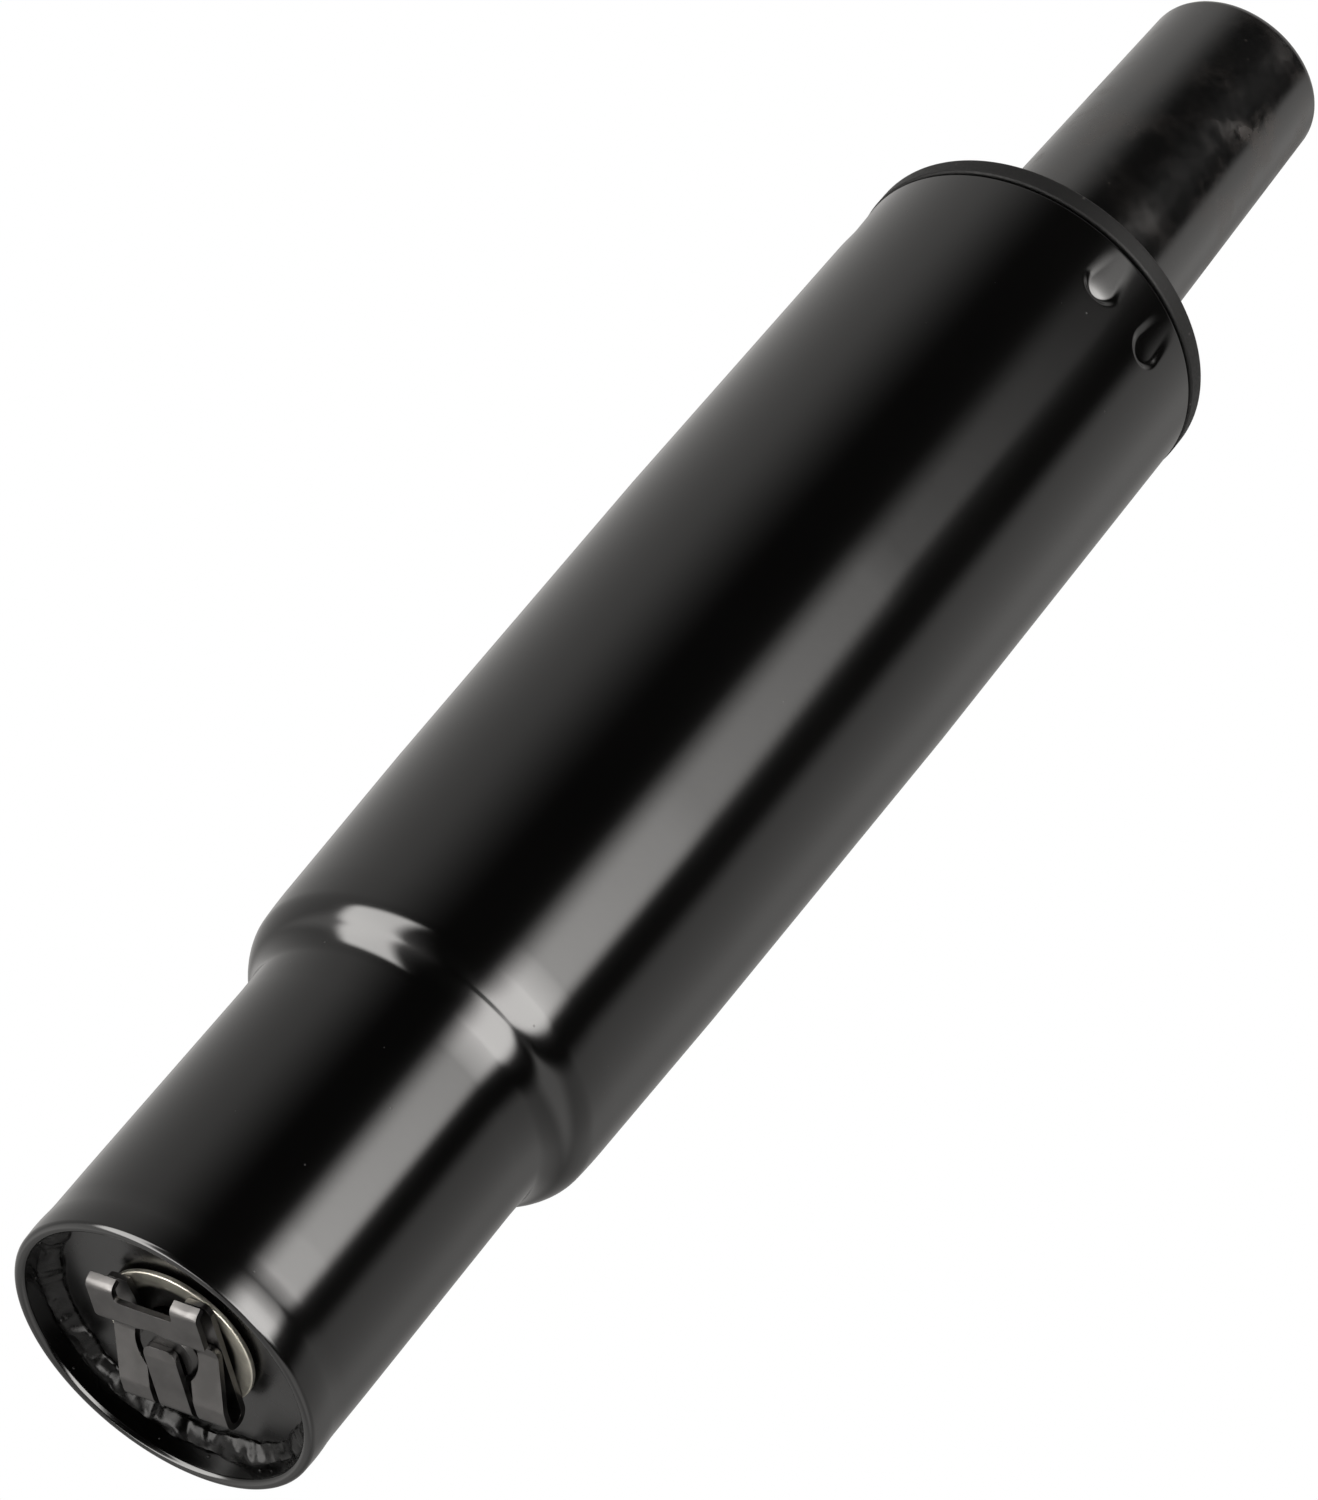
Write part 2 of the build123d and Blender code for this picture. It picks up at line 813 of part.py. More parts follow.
PIECES = {
    "column_tube": make_column_tube,
    "base_plate": make_base_plate,
    "weld_bead": make_weld_bead,
    "guide_bush": make_guide_bush,
    "lower_race": make_lower_race,
    "ball_cage": make_ball_cage,
    "bearing_balls": make_bearing_balls,
    "upper_race": make_upper_race,
    "thrust_washer": make_thrust_washer,
    "rubber_bumper": make_rubber_bumper,
    "piston_rod": make_piston_rod,
    "clip_washer": make_clip_washer,
    "retaining_clip": make_retaining_clip,
    "piston_body": make_piston_body,
    "piston_seal": make_piston_seal,
    "piston_guide_ring": make_piston_guide_ring,
    "piston_washer": make_piston_washer,
    "pressure_tube": make_pressure_tube,
    "seal_support_washer": make_seal_support_washer,
    "rod_seal": make_rod_seal,
    "rod_guide": make_rod_guide,
    "inner_cylinder": make_inner_cylinder,
    "valve_body": make_valve_body,
    "valve_seals": make_valve_seals,
    "spacer_sleeve": make_spacer_sleeve,
    "top_plug": make_top_plug,
    "release_pin": make_release_pin,
    "release_button": make_release_button,
}


def main():
    os.makedirs("parts", exist_ok=True)
    for name, make in PIECES.items():
        export_step(make(), f"parts/{name}.step")


if __name__ == "__main__":
    main()
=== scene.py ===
"""Dresses an office chair's gas lift: painted tubes, collar, weld, spring clip and a small studio.

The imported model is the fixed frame, in metres, with the column's axis on Z and its rim on the
floor. The pieces that show are modelled again with round edges and fine surfaces, in the place of
the plain solids.
"""

from math import atan2, cos, degrees, hypot, pi, radians, sin, tan

import bmesh
import bpy
from mathutils import Matrix, Vector, noise


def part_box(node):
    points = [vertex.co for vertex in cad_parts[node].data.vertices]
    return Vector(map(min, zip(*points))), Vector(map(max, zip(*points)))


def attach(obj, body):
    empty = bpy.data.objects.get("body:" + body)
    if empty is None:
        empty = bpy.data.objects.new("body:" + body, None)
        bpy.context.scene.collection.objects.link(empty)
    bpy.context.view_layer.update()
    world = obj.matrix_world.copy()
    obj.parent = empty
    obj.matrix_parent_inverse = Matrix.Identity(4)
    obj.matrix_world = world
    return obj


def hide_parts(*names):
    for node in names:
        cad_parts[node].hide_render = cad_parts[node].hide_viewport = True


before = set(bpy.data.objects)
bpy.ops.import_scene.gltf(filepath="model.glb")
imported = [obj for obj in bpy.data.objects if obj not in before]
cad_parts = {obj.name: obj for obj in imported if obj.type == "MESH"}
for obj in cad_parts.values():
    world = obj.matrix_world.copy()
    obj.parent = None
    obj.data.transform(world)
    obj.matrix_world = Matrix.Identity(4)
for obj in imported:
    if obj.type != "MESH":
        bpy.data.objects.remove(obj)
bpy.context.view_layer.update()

bl_info = {
    "name": "Gas Lift",
    "version": (1, 0, 0),
    "blender": (4, 5, 0),
    "location": "3D View > Sidebar > Gas Lift",
    "description": "Models and finishes the gas lift of an office chair",
    "category": "Object",
}

MM = 0.001
MICRON = 0.001 * MM
FULL_TURN = 2 * pi

# Points nearer than these are merged, in a turned ring and in a solid's loose triangles
SAME_POINT = 1e-7
SAME_CORNER = 2e-6

# Faces of a solid that meet at less than this angle are one flat face
FLAT_ANGLE = radians(0.5)

# Ranges of a noise that a material's tones or gloss spread over
WIDE = (0.3, 0.7)
NARROW = (0.35, 0.65)


def top(node):
    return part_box(node)[1].z


def bottom(node):
    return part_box(node)[0].z


def reach(node):
    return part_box(node)[1].x


def length(name, description, default):
    return bpy.props.FloatProperty(
        name=name, description=description, default=default, unit="LENGTH", precision=5
    )


def count(name, description, default):
    return bpy.props.IntProperty(name=name, description=description, default=default, min=1)


def arc_faces(default):
    return count("Arc", "Faces across a rounding", default)


def angle(name, description, default):
    return bpy.props.FloatProperty(
        name=name, description=description, default=radians(default), subtype="ANGLE"
    )


def share(name, description, default):
    return bpy.props.FloatProperty(
        name=name, description=description, default=default, subtype="FACTOR", min=0, max=1
    )


def level(name, description, default):
    return bpy.props.FloatProperty(name=name, description=description, default=default, min=0)


def colour(name, description, default):
    return bpy.props.FloatVectorProperty(
        name=name, description=description, default=default, size=3, subtype="COLOR", min=0, max=1
    )


class ColumnSizes(bpy.types.PropertyGroup):
    """Sizes of the outer column, its rim and its crimp dimples."""

    wall: length("Wall", "Thickness of the column's wall", 1.5 * MM)
    shoulder_middle: length("Shoulder middle", "Height of the middle of the shoulder", 49.4 * MM)
    shoulder_run: length("Shoulder run", "Height of the shoulder's steep part", 2.6 * MM)
    shoulder_step: length("Shoulder step", "How far the shoulder stands out of the neck", 3.6 * MM)
    shoulder_ease: length("Shoulder ease", "Height of the gentle slope each side", 4.2 * MM)
    ease_lift: length("Ease lift", "How far each gentle slope leaves the tube", 0.29 * MM)
    taper_top: length("Taper top", "Height where the cone meets the straight tube", 108.4 * MM)
    taper_ease: length("Taper ease", "Set-back of the round between cone and tube", 27 * MM)
    taper_share: share("Taper", "Narrowing of the cones in width over length", 1 / 20)
    rim_swell: length("Rim swell", "How far the rolled rim stands out of the neck", 0.12 * MM)
    rim_height: length("Rim height", "Height of the rolled rim", 3.1 * MM)
    groove_depth: length("Groove depth", "Depth of the groove above the rim", 0.06 * MM)
    groove_height: length("Groove height", "Height of the groove's floor", 5.3 * MM)
    groove_end: length("Groove end", "Height where the groove runs out", 9.6 * MM)
    rim_edge: length("Rim edge", "Radius of the rim's edges", 0.72 * MM)
    edge: length("Edge", "Radius of the mouth's outer edge", 0.16 * MM)
    dimple_pairs: count("Dimple pairs", "Pairs of crimp dimples round the mouth", 3)
    dimple_turn: angle("Dimple turn", "Angle of the first pair from the front", 21.2)
    dimple_spread: angle("Dimple spread", "Angle between the dimples of a pair", 23.3)
    dimple_width: length("Dimple width", "Width of a dimple", 5.6 * MM)
    dimple_depth: length("Dimple depth", "Depth of a dimple's bowl at its foot", 0.45 * MM)
    dimple_slope: length("Dimple slope", "Depth of a dimple's ramp at its foot", 0.42 * MM)
    dimple_ramp: length("Dimple ramp", "Height over which a dimple runs out", 8.7 * MM)
    dimple_drop: length("Dimple drop", "Distance from the mouth down to a dimple's foot", 8.9 * MM)
    dimple_wall: length("Dimple wall", "Width of a dimple's steep side", 0.55 * MM)


class BushSizes(bpy.types.PropertyGroup):
    """Sizes of the guide bush whose flange is the collar."""

    flange_height: length("Flange height", "Height of the collar", 3.4 * MM)
    gap: length("Gap", "Height of the shadow gap between the collar and the column", 0.5 * MM)
    edge: length("Edge", "Radius of the collar's edges", 0.45 * MM)
    bore: length("Bore", "Radius of the bore that the lift tube slides in", 14.06 * MM)
    bore_wall: length("Bore wall", "Thickness of the long bore's wall", 2.0 * MM)
    skirt_length: length("Skirt length", "Length of the skirt in the column's mouth", 22.0 * MM)
    skirt_wall: length("Skirt wall", "Thickness of the skirt", 2.0 * MM)
    foot_height: length("Foot height", "Height of the ring at the lower end", 3.0 * MM)
    fit: length("Fit", "Clearance in the column", 0.05 * MM)
    ribs: count("Ribs", "Ribs between the bore and the foot ring", 8)
    rib_thickness: length("Rib thickness", "Thickness of a rib", 1.8 * MM)


class TubeSizes(bpy.types.PropertyGroup):
    """Sizes of the lift tube, its rolled ends and the button."""

    wall: length("Wall", "Thickness of the lift tube's wall", 1.5 * MM)
    cone_length: length("Cone length", "Length of the seat cone", 48 * MM)
    end_lip: length("End lip", "How far the ends are rolled in", 4.5 * MM)
    roll: length("Roll", "Radius of the rolled ends", 1.5 * MM)
    button_edge: length("Button edge", "Radius of the button's edge", 0.8 * MM)


class BottomSizes(bpy.types.PropertyGroup):
    """Sizes of the weld, the washer and the clip in the column's foot."""

    bead_lump: length("Bead lump", "How uneven the weld bead is", 0.5 * MM)
    bead_pitch: length("Bead pitch", "Distance between the ripples of the weld", 2.6 * MM)
    spatter: count("Spatter", "Drops of spatter beside the weld", 30)
    spatter_size: length("Spatter size", "Radius of the largest drop", 0.3 * MM)
    washer_edge: length("Washer edge", "Radius of the washer's edges", 0.2 * MM)
    clip_edge: length("Clip edge", "Radius of the clip's edges", 0.2 * MM)


class Finishes(bpy.types.PropertyGroup):
    """Colours and gloss of the gas lift."""

    paint: colour("Column paint", "Colour of the column's paint", (0.0015, 0.0014, 0.0013))
    paint_roughness: share("Column roughness", "Roughness of the column's paint", 0.13)
    paint_dust: colour("Column dust", "Colour of the column's dust", (0.012, 0.0115, 0.0105))
    tube_paint: colour("Tube paint", "Colour of the lift tube's coating", (0.0014, 0.0013, 0.0012))
    tube_roughness: share("Tube roughness", "Roughness of the lift tube's coating", 0.16)
    tube_dust: colour("Tube dust", "Colour of the lift tube's dust", (0.035, 0.03, 0.026))
    smudge: colour("Smudge", "Colour of the handling marks", (0.012, 0.0084, 0.0064))
    plastic: colour("Collar plastic", "Colour of the collar's plastic", (0.0055, 0.0054, 0.0053))
    plastic_roughness: share("Collar roughness", "Roughness of the collar's plastic", 0.55)
    lint: colour("Lint", "Colour of the lint on the collar", (0.09, 0.085, 0.08))
    steel: colour("Clip steel", "Colour of the clip's spring steel", (0.098, 0.095, 0.093))
    zinc: colour("Washer plating", "Colour of the washer's zinc plating", (0.55, 0.53, 0.46))
    # Painted shade: near-black for the clip's shadow on the washer's flat, and where it fades out
    painted_shade: colour("Painted shade", "Colour of the shaded metal by the rod", (0.02, 0.019, 0.018))
    painted_shade_start: length("Grease start", "Radius where the grease starts to thin", 7.3 * MM)
    painted_shade_end: length("Grease end", "Radius where the grease ends", 8.1 * MM)
    rod: colour("Rod steel", "Colour of the rod's oiled steel", (0.05, 0.049, 0.048))


class StudioSizes(bpy.types.PropertyGroup):
    """Places and levels of the studio round the gas lift."""

    floor_radius: length("Floor radius", "Radius of the floor", 12.0)
    floor_shade: share("Floor shade", "Paleness of the floor", 0.93)
    fade_start: length("Fade start", "Distance where the floor starts to turn white", 0.35)
    fade_end: length("Fade end", "Distance where the floor is as white as the background", 1.6)
    background: level("Background", "Level of the white background", 1.0)
    fill: level("Fill", "Level of the even light from all round", 0.62)
    dark_side: angle("Dark side", "Azimuth of the dark screen by the camera", -70)
    walls: level("Walls", "Level of the room's walls in gloss", 0.67)
    below: level("Below", "Level of the table under the lift in gloss", 0.5)
    right_lamp: level("Right lamp", "Level of the tall lamp on the right", 13)
    left_lamp: level("Left lamp", "Level of the low lamp on the left", 10)


def keep(obj, body, material, slot, *nodes):
    """Gives a new piece its material and body, and puts it in its nodes' place. The slot is not
    used.
    """
    obj.data.materials.append(material)
    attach(obj, body)
    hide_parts(*nodes)


def object_of(bm, name, smooth=True):
    """Object that takes over a finished bmesh."""
    for face in bm.faces:
        face.smooth = smooth
    mesh = bpy.data.meshes.new(name)
    bm.to_mesh(mesh)
    bm.free()
    obj = bpy.data.objects.new(name, mesh)
    bpy.context.scene.collection.objects.link(obj)
    return obj


def weighted(obj):
    """Keeps long walls evenly shaded up to their round edges."""
    modifier = obj.modifiers.new("even shading", "WEIGHTED_NORMAL")
    modifier.keep_sharp = True
    modifier.weight = 100
    return obj


def section(bm, corners, segments):
    """Border of a half section. A corner is a radius, a height and, if round, its set-back."""
    points = [bm.verts.new((corner[0], 0, corner[1])) for corner in corners]
    bm.faces.new(points)
    rounds = {}
    for point, corner in zip(points, corners):
        if len(corner) > 2:
            rounds.setdefault(corner[2], []).append(point)
    for set_back, group in sorted(rounds.items()):
        bmesh.ops.bevel(
            bm,
            geom=group,
            offset=set_back,
            offset_type="OFFSET",
            segments=segments,
            profile=0.5,
            affect="VERTICES",
            material=-1,
            clamp_overlap=False,
        )
    bmesh.ops.delete(bm, geom=list(bm.faces), context="FACES_ONLY")


def turned(bm, steps):
    """Spins the border of a half section about the axis into a closed ring."""
    bmesh.ops.spin(
        bm,
        geom=list(bm.verts) + list(bm.edges),
        cent=(0, 0, 0),
        axis=(0, 0, 1),
        angle=FULL_TURN,
        steps=steps,
        use_merge=True,
    )
    bmesh.ops.remove_doubles(bm, verts=bm.verts, dist=SAME_POINT)
    bmesh.ops.recalc_face_normals(bm, faces=bm.faces)


def ring(corners, arc, steps):
    """Closed ring with the corners of a half section."""
    bm = bmesh.new()
    section(bm, corners, arc)
    turned(bm, steps)
    return bm


def smooth_step(value, low, high):
    """0 below low, 1 above high, and a soft rise between them."""
    t = min(max((value - low) / (high - low), 0), 1)
    return t * t * (3 - 2 * t)


# Set-backs of the column's corners, as shares of the rim's height or of the slope beside them.
# On the shoulder they stay under a half, so that two rounds on one slope don't meet.
RIM_ROUND = 0.34
GROOVE_ROUND = 0.36
GROOVE_END_ROUND = 0.95
EASE_ROUND = 0.48
STEEP_ROUND = 0.47


def column_corners(s):
    """Half section of the column tube, rim to mouth and back down the bore."""
    body = reach("column_tube")
    mouth = top("column_tube")
    neck_bore = reach("base_plate")
    neck = neck_bore + s.wall
    rim = neck + s.rim_swell
    groove = neck - s.groove_depth
    low = s.shoulder_middle - s.shoulder_run / 2
    high = s.shoulder_middle + s.shoulder_run / 2
    cone_foot = high + s.shoulder_ease
    cone = body - (s.taper_top - cone_foot) * s.taper_share / 2
    lip = neck + s.shoulder_step - s.ease_lift
    heel = neck + s.ease_lift
    turn = atan2(lip - heel, s.shoulder_run)
    shift = s.wall * tan(turn / 2)
    ease = s.shoulder_ease * EASE_ROUND
    steep = min(ease, hypot(lip - heel, s.shoulder_run) * STEEP_ROUND)
    return [
        (neck_bore, 0, s.rim_edge),
        (neck, 0, s.rim_edge),
        (rim, s.rim_height, s.rim_height * RIM_ROUND),
        (groove, s.groove_height, s.rim_height * GROOVE_ROUND),
        (neck, s.groove_end, s.rim_height * GROOVE_END_ROUND),
        (neck, low - s.shoulder_ease, ease),
        (heel, low, steep),
        (lip, high, steep),
        (cone, cone_foot, ease),
        (body, s.taper_top, s.taper_ease),
        (body, mouth, s.edge),
        (body - s.wall, mouth),
        (body - s.wall, s.taper_top),
        (lip - s.wall, high + shift, ease / 2),
        (heel - s.wall, low + shift, ease / 2),
        (neck_bore, low - s.shoulder_ease),
    ]


# Half width of a dimple's finer patch over the dimple's own, how much softer its sides get up the
# ramp, and how soon the bowl at its foot runs out
PATCH_REACH = 1.5
SIDE_SPREAD = 3
BOWL_POWER = 10


def press_dimples(bm, s):
    """Presses the crimp dimples into both sides of the wall, on a finer patch of the mesh."""
    mouth = top("column_tube")
    foot = mouth - s.dimple_drop
    half = s.dimple_width / 2
    patch_half = half * PATCH_REACH
    body = reach("column_tube")
    turns = []
    for pair in range(s.dimple_pairs):
        middle = s.dimple_turn - pi / 2 + pair * FULL_TURN / s.dimple_pairs
        turns += [middle - s.dimple_spread / 2, middle + s.dimple_spread / 2]

    def across(co, turn):
        away = (atan2(co.y, co.x) - turn + pi) % FULL_TURN - pi
        return away * body

    def near(co):
        inside = foot - half < co.z < mouth - s.edge
        return inside and any(abs(across(co, turn)) < patch_half for turn in turns)

    patch = [edge for edge in bm.edges if all(near(vert.co) for vert in edge.verts)]
    bmesh.ops.subdivide_edges(bm, edges=patch, cuts=1, use_grid_fill=True)
    for vert in bm.verts:
        co = vert.co
        if not near(co):
            continue
        for turn in turns:
            side = across(co, turn)
            up = co.z - foot
            if abs(side) > patch_half:
                continue
            below = max(half - up, 0)
            inwards = half - hypot(side, below)
            left = 1 - min(max(up / s.dimple_ramp, 0), 1)
            wall = s.dimple_wall * (1 + SIDE_SPREAD * (1 - left))
            steep = smooth_step(inwards, -s.dimple_wall / 2, wall)
            depth = steep * (s.dimple_depth * left**BOWL_POWER + s.dimple_slope * left)
            outward = Vector((co.x, co.y, 0)).normalized()
            vert.co = co - outward * depth


class GASLIFT_OT_column(bpy.types.Operator):
    """Model the outer column with its rim, shoulder, taper and crimp dimples"""

    bl_idname = "gaslift.column"
    bl_label = "Column"

    steps: count("Steps", "Faces round the column", 400)
    arc: arc_faces(8)
    rows: count("Rows", "Rows of faces across the dimples", 30)

    def execute(self, context):
        s = context.scene.gaslift_column
        bm = ring(column_corners(s), self.arc, self.steps)
        # The rows run from just under the dimples' feet to just under the mouth's edge
        low = top("column_tube") - s.dimple_drop - s.dimple_wall * 2
        high = top("column_tube") - s.edge * 2
        for row in range(self.rows + 1):
            height = low + (high - low) * row / self.rows
            bmesh.ops.bisect_plane(
                bm,
                geom=bm.verts[:] + bm.edges[:] + bm.faces[:],
                plane_co=(0, 0, height),
                plane_no=(0, 0, 1),
            )
        press_dimples(bm, s)
        bmesh.ops.recalc_face_normals(bm, faces=bm.faces)
        obj = weighted(object_of(bm, "column"))
        keep(obj, "column", column_paint(context), "column_paint", "column_tube")
        return {"FINISHED"}


# Heights of the shadow gap's inner end and of the collar's lip inside, over the gap, and the lip's
# width and set-back, over the collar's edge
GAP_ROOF = 2.6
LIP_FOOT = 1.1
LIP_WIDTH = 2
LIP_ROUND = 0.9


class GASLIFT_OT_bush(bpy.types.Operator):
    """Model the guide bush, whose flange is the collar"""

    bl_idname = "gaslift.bush"
    bl_label = "Guide bush"

    steps: count("Steps", "Faces round the bush", 256)
    arc: arc_faces(5)

    def execute(self, context):
        s = context.scene.gaslift_bush
        column = context.scene.gaslift_column
        collar = reach("guide_bush")
        roof = top("guide_bush")
        seat = roof - s.flange_height
        foot = bottom("guide_bush")
        skirt = reach("column_tube") - column.wall - s.fit
        skirt_bore = skirt - s.skirt_wall
        ledge = skirt + column.wall / 3
        outside = s.bore + s.bore_wall
        corners = [
            (s.bore, roof, s.edge),
            (s.bore, foot, s.edge),
            (skirt - s.edge, foot, s.edge),
            (skirt - s.edge, foot + s.foot_height, s.edge),
            (outside, foot + s.foot_height),
            (outside, seat - s.skirt_wall),
            (skirt_bore, seat - s.skirt_wall),
            (skirt_bore, seat - s.skirt_length),
            (skirt, seat - s.skirt_length, s.edge),
            (skirt, seat),
            (ledge, seat),
            (ledge, seat + s.gap * GAP_ROOF),
            (collar - s.edge * LIP_WIDTH, seat + s.gap * LIP_FOOT),
            (collar, seat + s.gap, s.edge * LIP_ROUND),
            (collar, roof, s.edge),
        ]
        bm = ring(corners, self.arc, self.steps)
        rib_height = seat - s.skirt_wall - foot
        rib_reach = skirt_bore - outside
        for index in range(s.ribs):
            rib = bmesh.ops.create_cube(bm, size=1)["verts"]
            bmesh.ops.scale(bm, verts=rib, vec=(rib_reach, s.rib_thickness, rib_height))
            bmesh.ops.translate(
                bm, verts=rib, vec=(outside + rib_reach / 2, 0, foot + rib_height / 2)
            )
            bmesh.ops.rotate(
                bm,
                verts=rib,
                cent=(0, 0, 0),
                matrix=Matrix.Rotation(index * FULL_TURN / s.ribs, 3, "Z"),
            )
        obj = weighted(object_of(bm, "collar_bush"))
        keep(obj, "column", collar_plastic(context), "collar_plastic", "guide_bush")
        return {"FINISHED"}


# Set-backs of the lift tube's ends: the outer corner over the roll, and the lip over the wall
ROLL_ROUND = 0.98
END_LIP_ROUND = 0.3


class GASLIFT_OT_lift_tube(bpy.types.Operator):
    """Model the lift tube with its seat cone and rolled ends"""

    bl_idname = "gaslift.lift_tube"
    bl_label = "Lift tube"

    steps: count("Steps", "Faces round the lift tube", 256)
    arc: arc_faces(9)

    def execute(self, context):
        s = context.scene.gaslift_tube
        tube = reach("pressure_tube")
        foot = bottom("pressure_tube")
        roof = top("pressure_tube")
        cone_foot = roof - s.cone_length
        narrowing = (s.cone_length - s.wall) * context.scene.gaslift_column.taper_share / 2
        cone_top = tube - narrowing
        bore = tube - s.wall
        cone_bore = cone_top - s.wall
        corners = [
            (bore - s.end_lip, foot, s.wall * END_LIP_ROUND),
            (tube, foot, s.roll * ROLL_ROUND),
            (tube, cone_foot, s.roll),
            (cone_top, roof, s.roll * ROLL_ROUND),
            (cone_bore - s.end_lip, roof, s.wall * END_LIP_ROUND),
            (cone_bore - s.end_lip, roof - s.wall),
            (cone_bore, roof - s.wall),
            (bore, cone_foot),
            (bore, foot + s.wall),
            (bore - s.end_lip, foot + s.wall),
        ]
        obj = weighted(object_of(ring(corners, self.arc, self.steps), "lift_tube"))
        keep(obj, "gas_spring", tube_coating(context), "lift_tube_paint", "pressure_tube")
        return {"FINISHED"}


# The button's bore over the pin, the dish on its top over its radius and edge, the depth of its
# bore over its edge, and the pole of its turned shape over its bore
PIN_BORE = 0.58
DISH_RIM = 0.55
DISH_FLOOR = 0.45
DISH_DEPTH = 0.2
BORE_DEPTH = 5
POLE = 0.01


class GASLIFT_OT_button(bpy.types.Operator):
    """Model the release button on top"""

    bl_idname = "gaslift.button"
    bl_label = "Release button"

    steps: count("Steps", "Faces round the button", 96)
    arc: arc_faces(6)

    def execute(self, context):
        s = context.scene.gaslift_tube
        radius = reach("release_button")
        foot = bottom("release_button")
        roof = top("release_button")
        pin = reach("release_pin") * PIN_BORE
        dish = s.button_edge * DISH_DEPTH
        bore_roof = foot + s.button_edge * BORE_DEPTH
        corners = [
            (pin, foot),
            (radius, foot, s.button_edge / 2),
            (radius, roof, s.button_edge),
            (radius * DISH_RIM, roof, dish),
            (radius * DISH_FLOOR, roof - dish, dish),
            (pin * POLE, roof - dish),
            (pin * POLE, bore_roof),
            (pin, bore_roof),
        ]
        obj = weighted(object_of(ring(corners, self.arc, self.steps), "button"))
        keep(obj, "release", button_zinc(context), "button_steel", "release_button")
        return {"FINISHED"}


# The bead's width over the column's wall, how deep its ring sits in the plate and the wall over its
# largest lump, and the set-back of its foot and where the lumps start, over that depth
BEAD_WIDTH = 1.4
BEAD_SUNK = 0.6
BEAD_ROUND = 3
BEAD_FREE = 0.9

# The bead's lumps, slow waves and ripples: scales of their noise, and heights over its largest lump
COARSE_SCALE = 340
COARSE_HEIGHT = 0.9
FINE_SCALE = 760
FINE_SKEW = 300
FINE_HEIGHT = 0.34
WAVE_SCALE = 6
WAVE_PLANE = 0.3
WAVE_HEIGHT = 0.9
RIPPLE_BEND = 0.8
RIPPLE_DRIFT = 9
RIPPLE_HEIGHT = 0.07

# The smallest drop over the largest, the share of drops on the wall, how far they spread down the
# wall over its height there, and how far the others spread inwards over the bead's width
SMALLEST_DROP = 0.35
DROPS_ON_WALL = 0.55
WALL_SPREAD = 0.75
PLATE_SPREAD = 1.2


class RandomDrops:
    """Repeatable stream of numbers from 0 to 1, read from one plane of a cell noise."""

    seed_step = 13.7
    index_step = 7.31
    plane = 0.5

    def __init__(self, seed):
        self.seed = seed
        self.index = 0

    def next(self):
        self.index += 1
        place = (self.seed * self.seed_step, self.index * self.index_step, self.plane)
        return noise.cell(Vector(place))


class GASLIFT_OT_weld(bpy.types.Operator):
    """Model the uneven weld bead round the base plate, with its spatter"""

    bl_idname = "gaslift.weld"
    bl_label = "Weld"

    steps: count("Steps", "Faces round the bead", 512)
    arc: arc_faces(10)
    seed: count("Seed", "Start of the random drops", 7)

    def execute(self, context):
        s = context.scene.gaslift_bottom
        wall = reach("weld_bead")
        roof = top("weld_bead")
        foot = bottom("weld_bead")
        width = context.scene.gaslift_column.wall * BEAD_WIDTH
        inner = wall - width
        sunk = s.bead_lump * BEAD_SUNK
        bm = bmesh.new()
        corners = [
            (inner, roof + sunk),
            (inner, roof - sunk, sunk),
            (wall - sunk, foot, sunk * BEAD_ROUND),
            (wall + sunk, foot),
            (wall + sunk, roof + sunk),
        ]
        section(bm, corners, self.arc)
        bmesh.ops.subdivide_edges(bm, edges=bm.edges[:], cuts=1)
        turned(bm, self.steps)
        self.raise_lumps(bm, s, inner, wall, roof, sunk)
        self.scatter_drops(bm, s, wall, width, roof, foot)
        bmesh.ops.recalc_face_normals(bm, faces=bm.faces)
        obj = object_of(bm, "weld")
        keep(obj, "column", weld_paint(context), "weld_paint", "weld_bead")
        return {"FINISHED"}

    def raise_lumps(self, bm, s, inner, wall, roof, sunk):
        """Moves the ring's free side away from the corner that the bead fills."""
        middle = Vector((0, 0, roof))
        for vert in bm.verts:
            co = vert.co
            turn = atan2(co.y, co.x)
            along = turn * wall
            off_plate = smooth_step(roof + sunk * BEAD_FREE - co.z, 0, sunk)
            off_wall = smooth_step(wall + sunk * BEAD_FREE - hypot(co.x, co.y), 0, sunk)
            free = off_plate * off_wall
            slow = noise.noise(Vector((cos(turn), sin(turn), WAVE_PLANE)) * WAVE_SCALE)
            coarse = noise.noise(co * COARSE_SCALE) * COARSE_HEIGHT
            fine = noise.noise(co * FINE_SCALE + co.yzx * FINE_SKEW) * FINE_HEIGHT
            bend = (hypot(co.x, co.y) - inner) * RIPPLE_BEND
            ripple = sin((along + bend) / s.bead_pitch * FULL_TURN + slow * RIPPLE_DRIFT)
            outward = Vector((cos(turn), sin(turn), 0)) * wall
            towards = (co - (outward + middle)).normalized()
            lift = s.bead_lump * (coarse + fine + RIPPLE_HEIGHT * ripple + slow * WAVE_HEIGHT)
            vert.co = co + towards * lift * free

    def scatter_drops(self, bm, s, wall, width, roof, foot):
        """Adds small drops on the wall below the bead and on the plate inside it."""
        inner = wall - width
        stream = RandomDrops(self.seed)
        for drop in range(s.spatter):
            turn = stream.next() * FULL_TURN
            size = s.spatter_size * (SMALLEST_DROP + (1 - SMALLEST_DROP) * stream.next() ** 2)
            on_wall = stream.next() < DROPS_ON_WALL
            climb = stream.next()
            if on_wall:
                distance = wall
                height = foot - climb * (foot * WALL_SPREAD)
            else:
                distance = inner - climb * width * PLATE_SPREAD
                height = roof
            place = Vector((cos(turn) * distance, sin(turn) * distance, height))
            ball = bmesh.ops.create_icosphere(bm, subdivisions=2, radius=size)["verts"]
            bmesh.ops.translate(bm, verts=ball, vec=place)


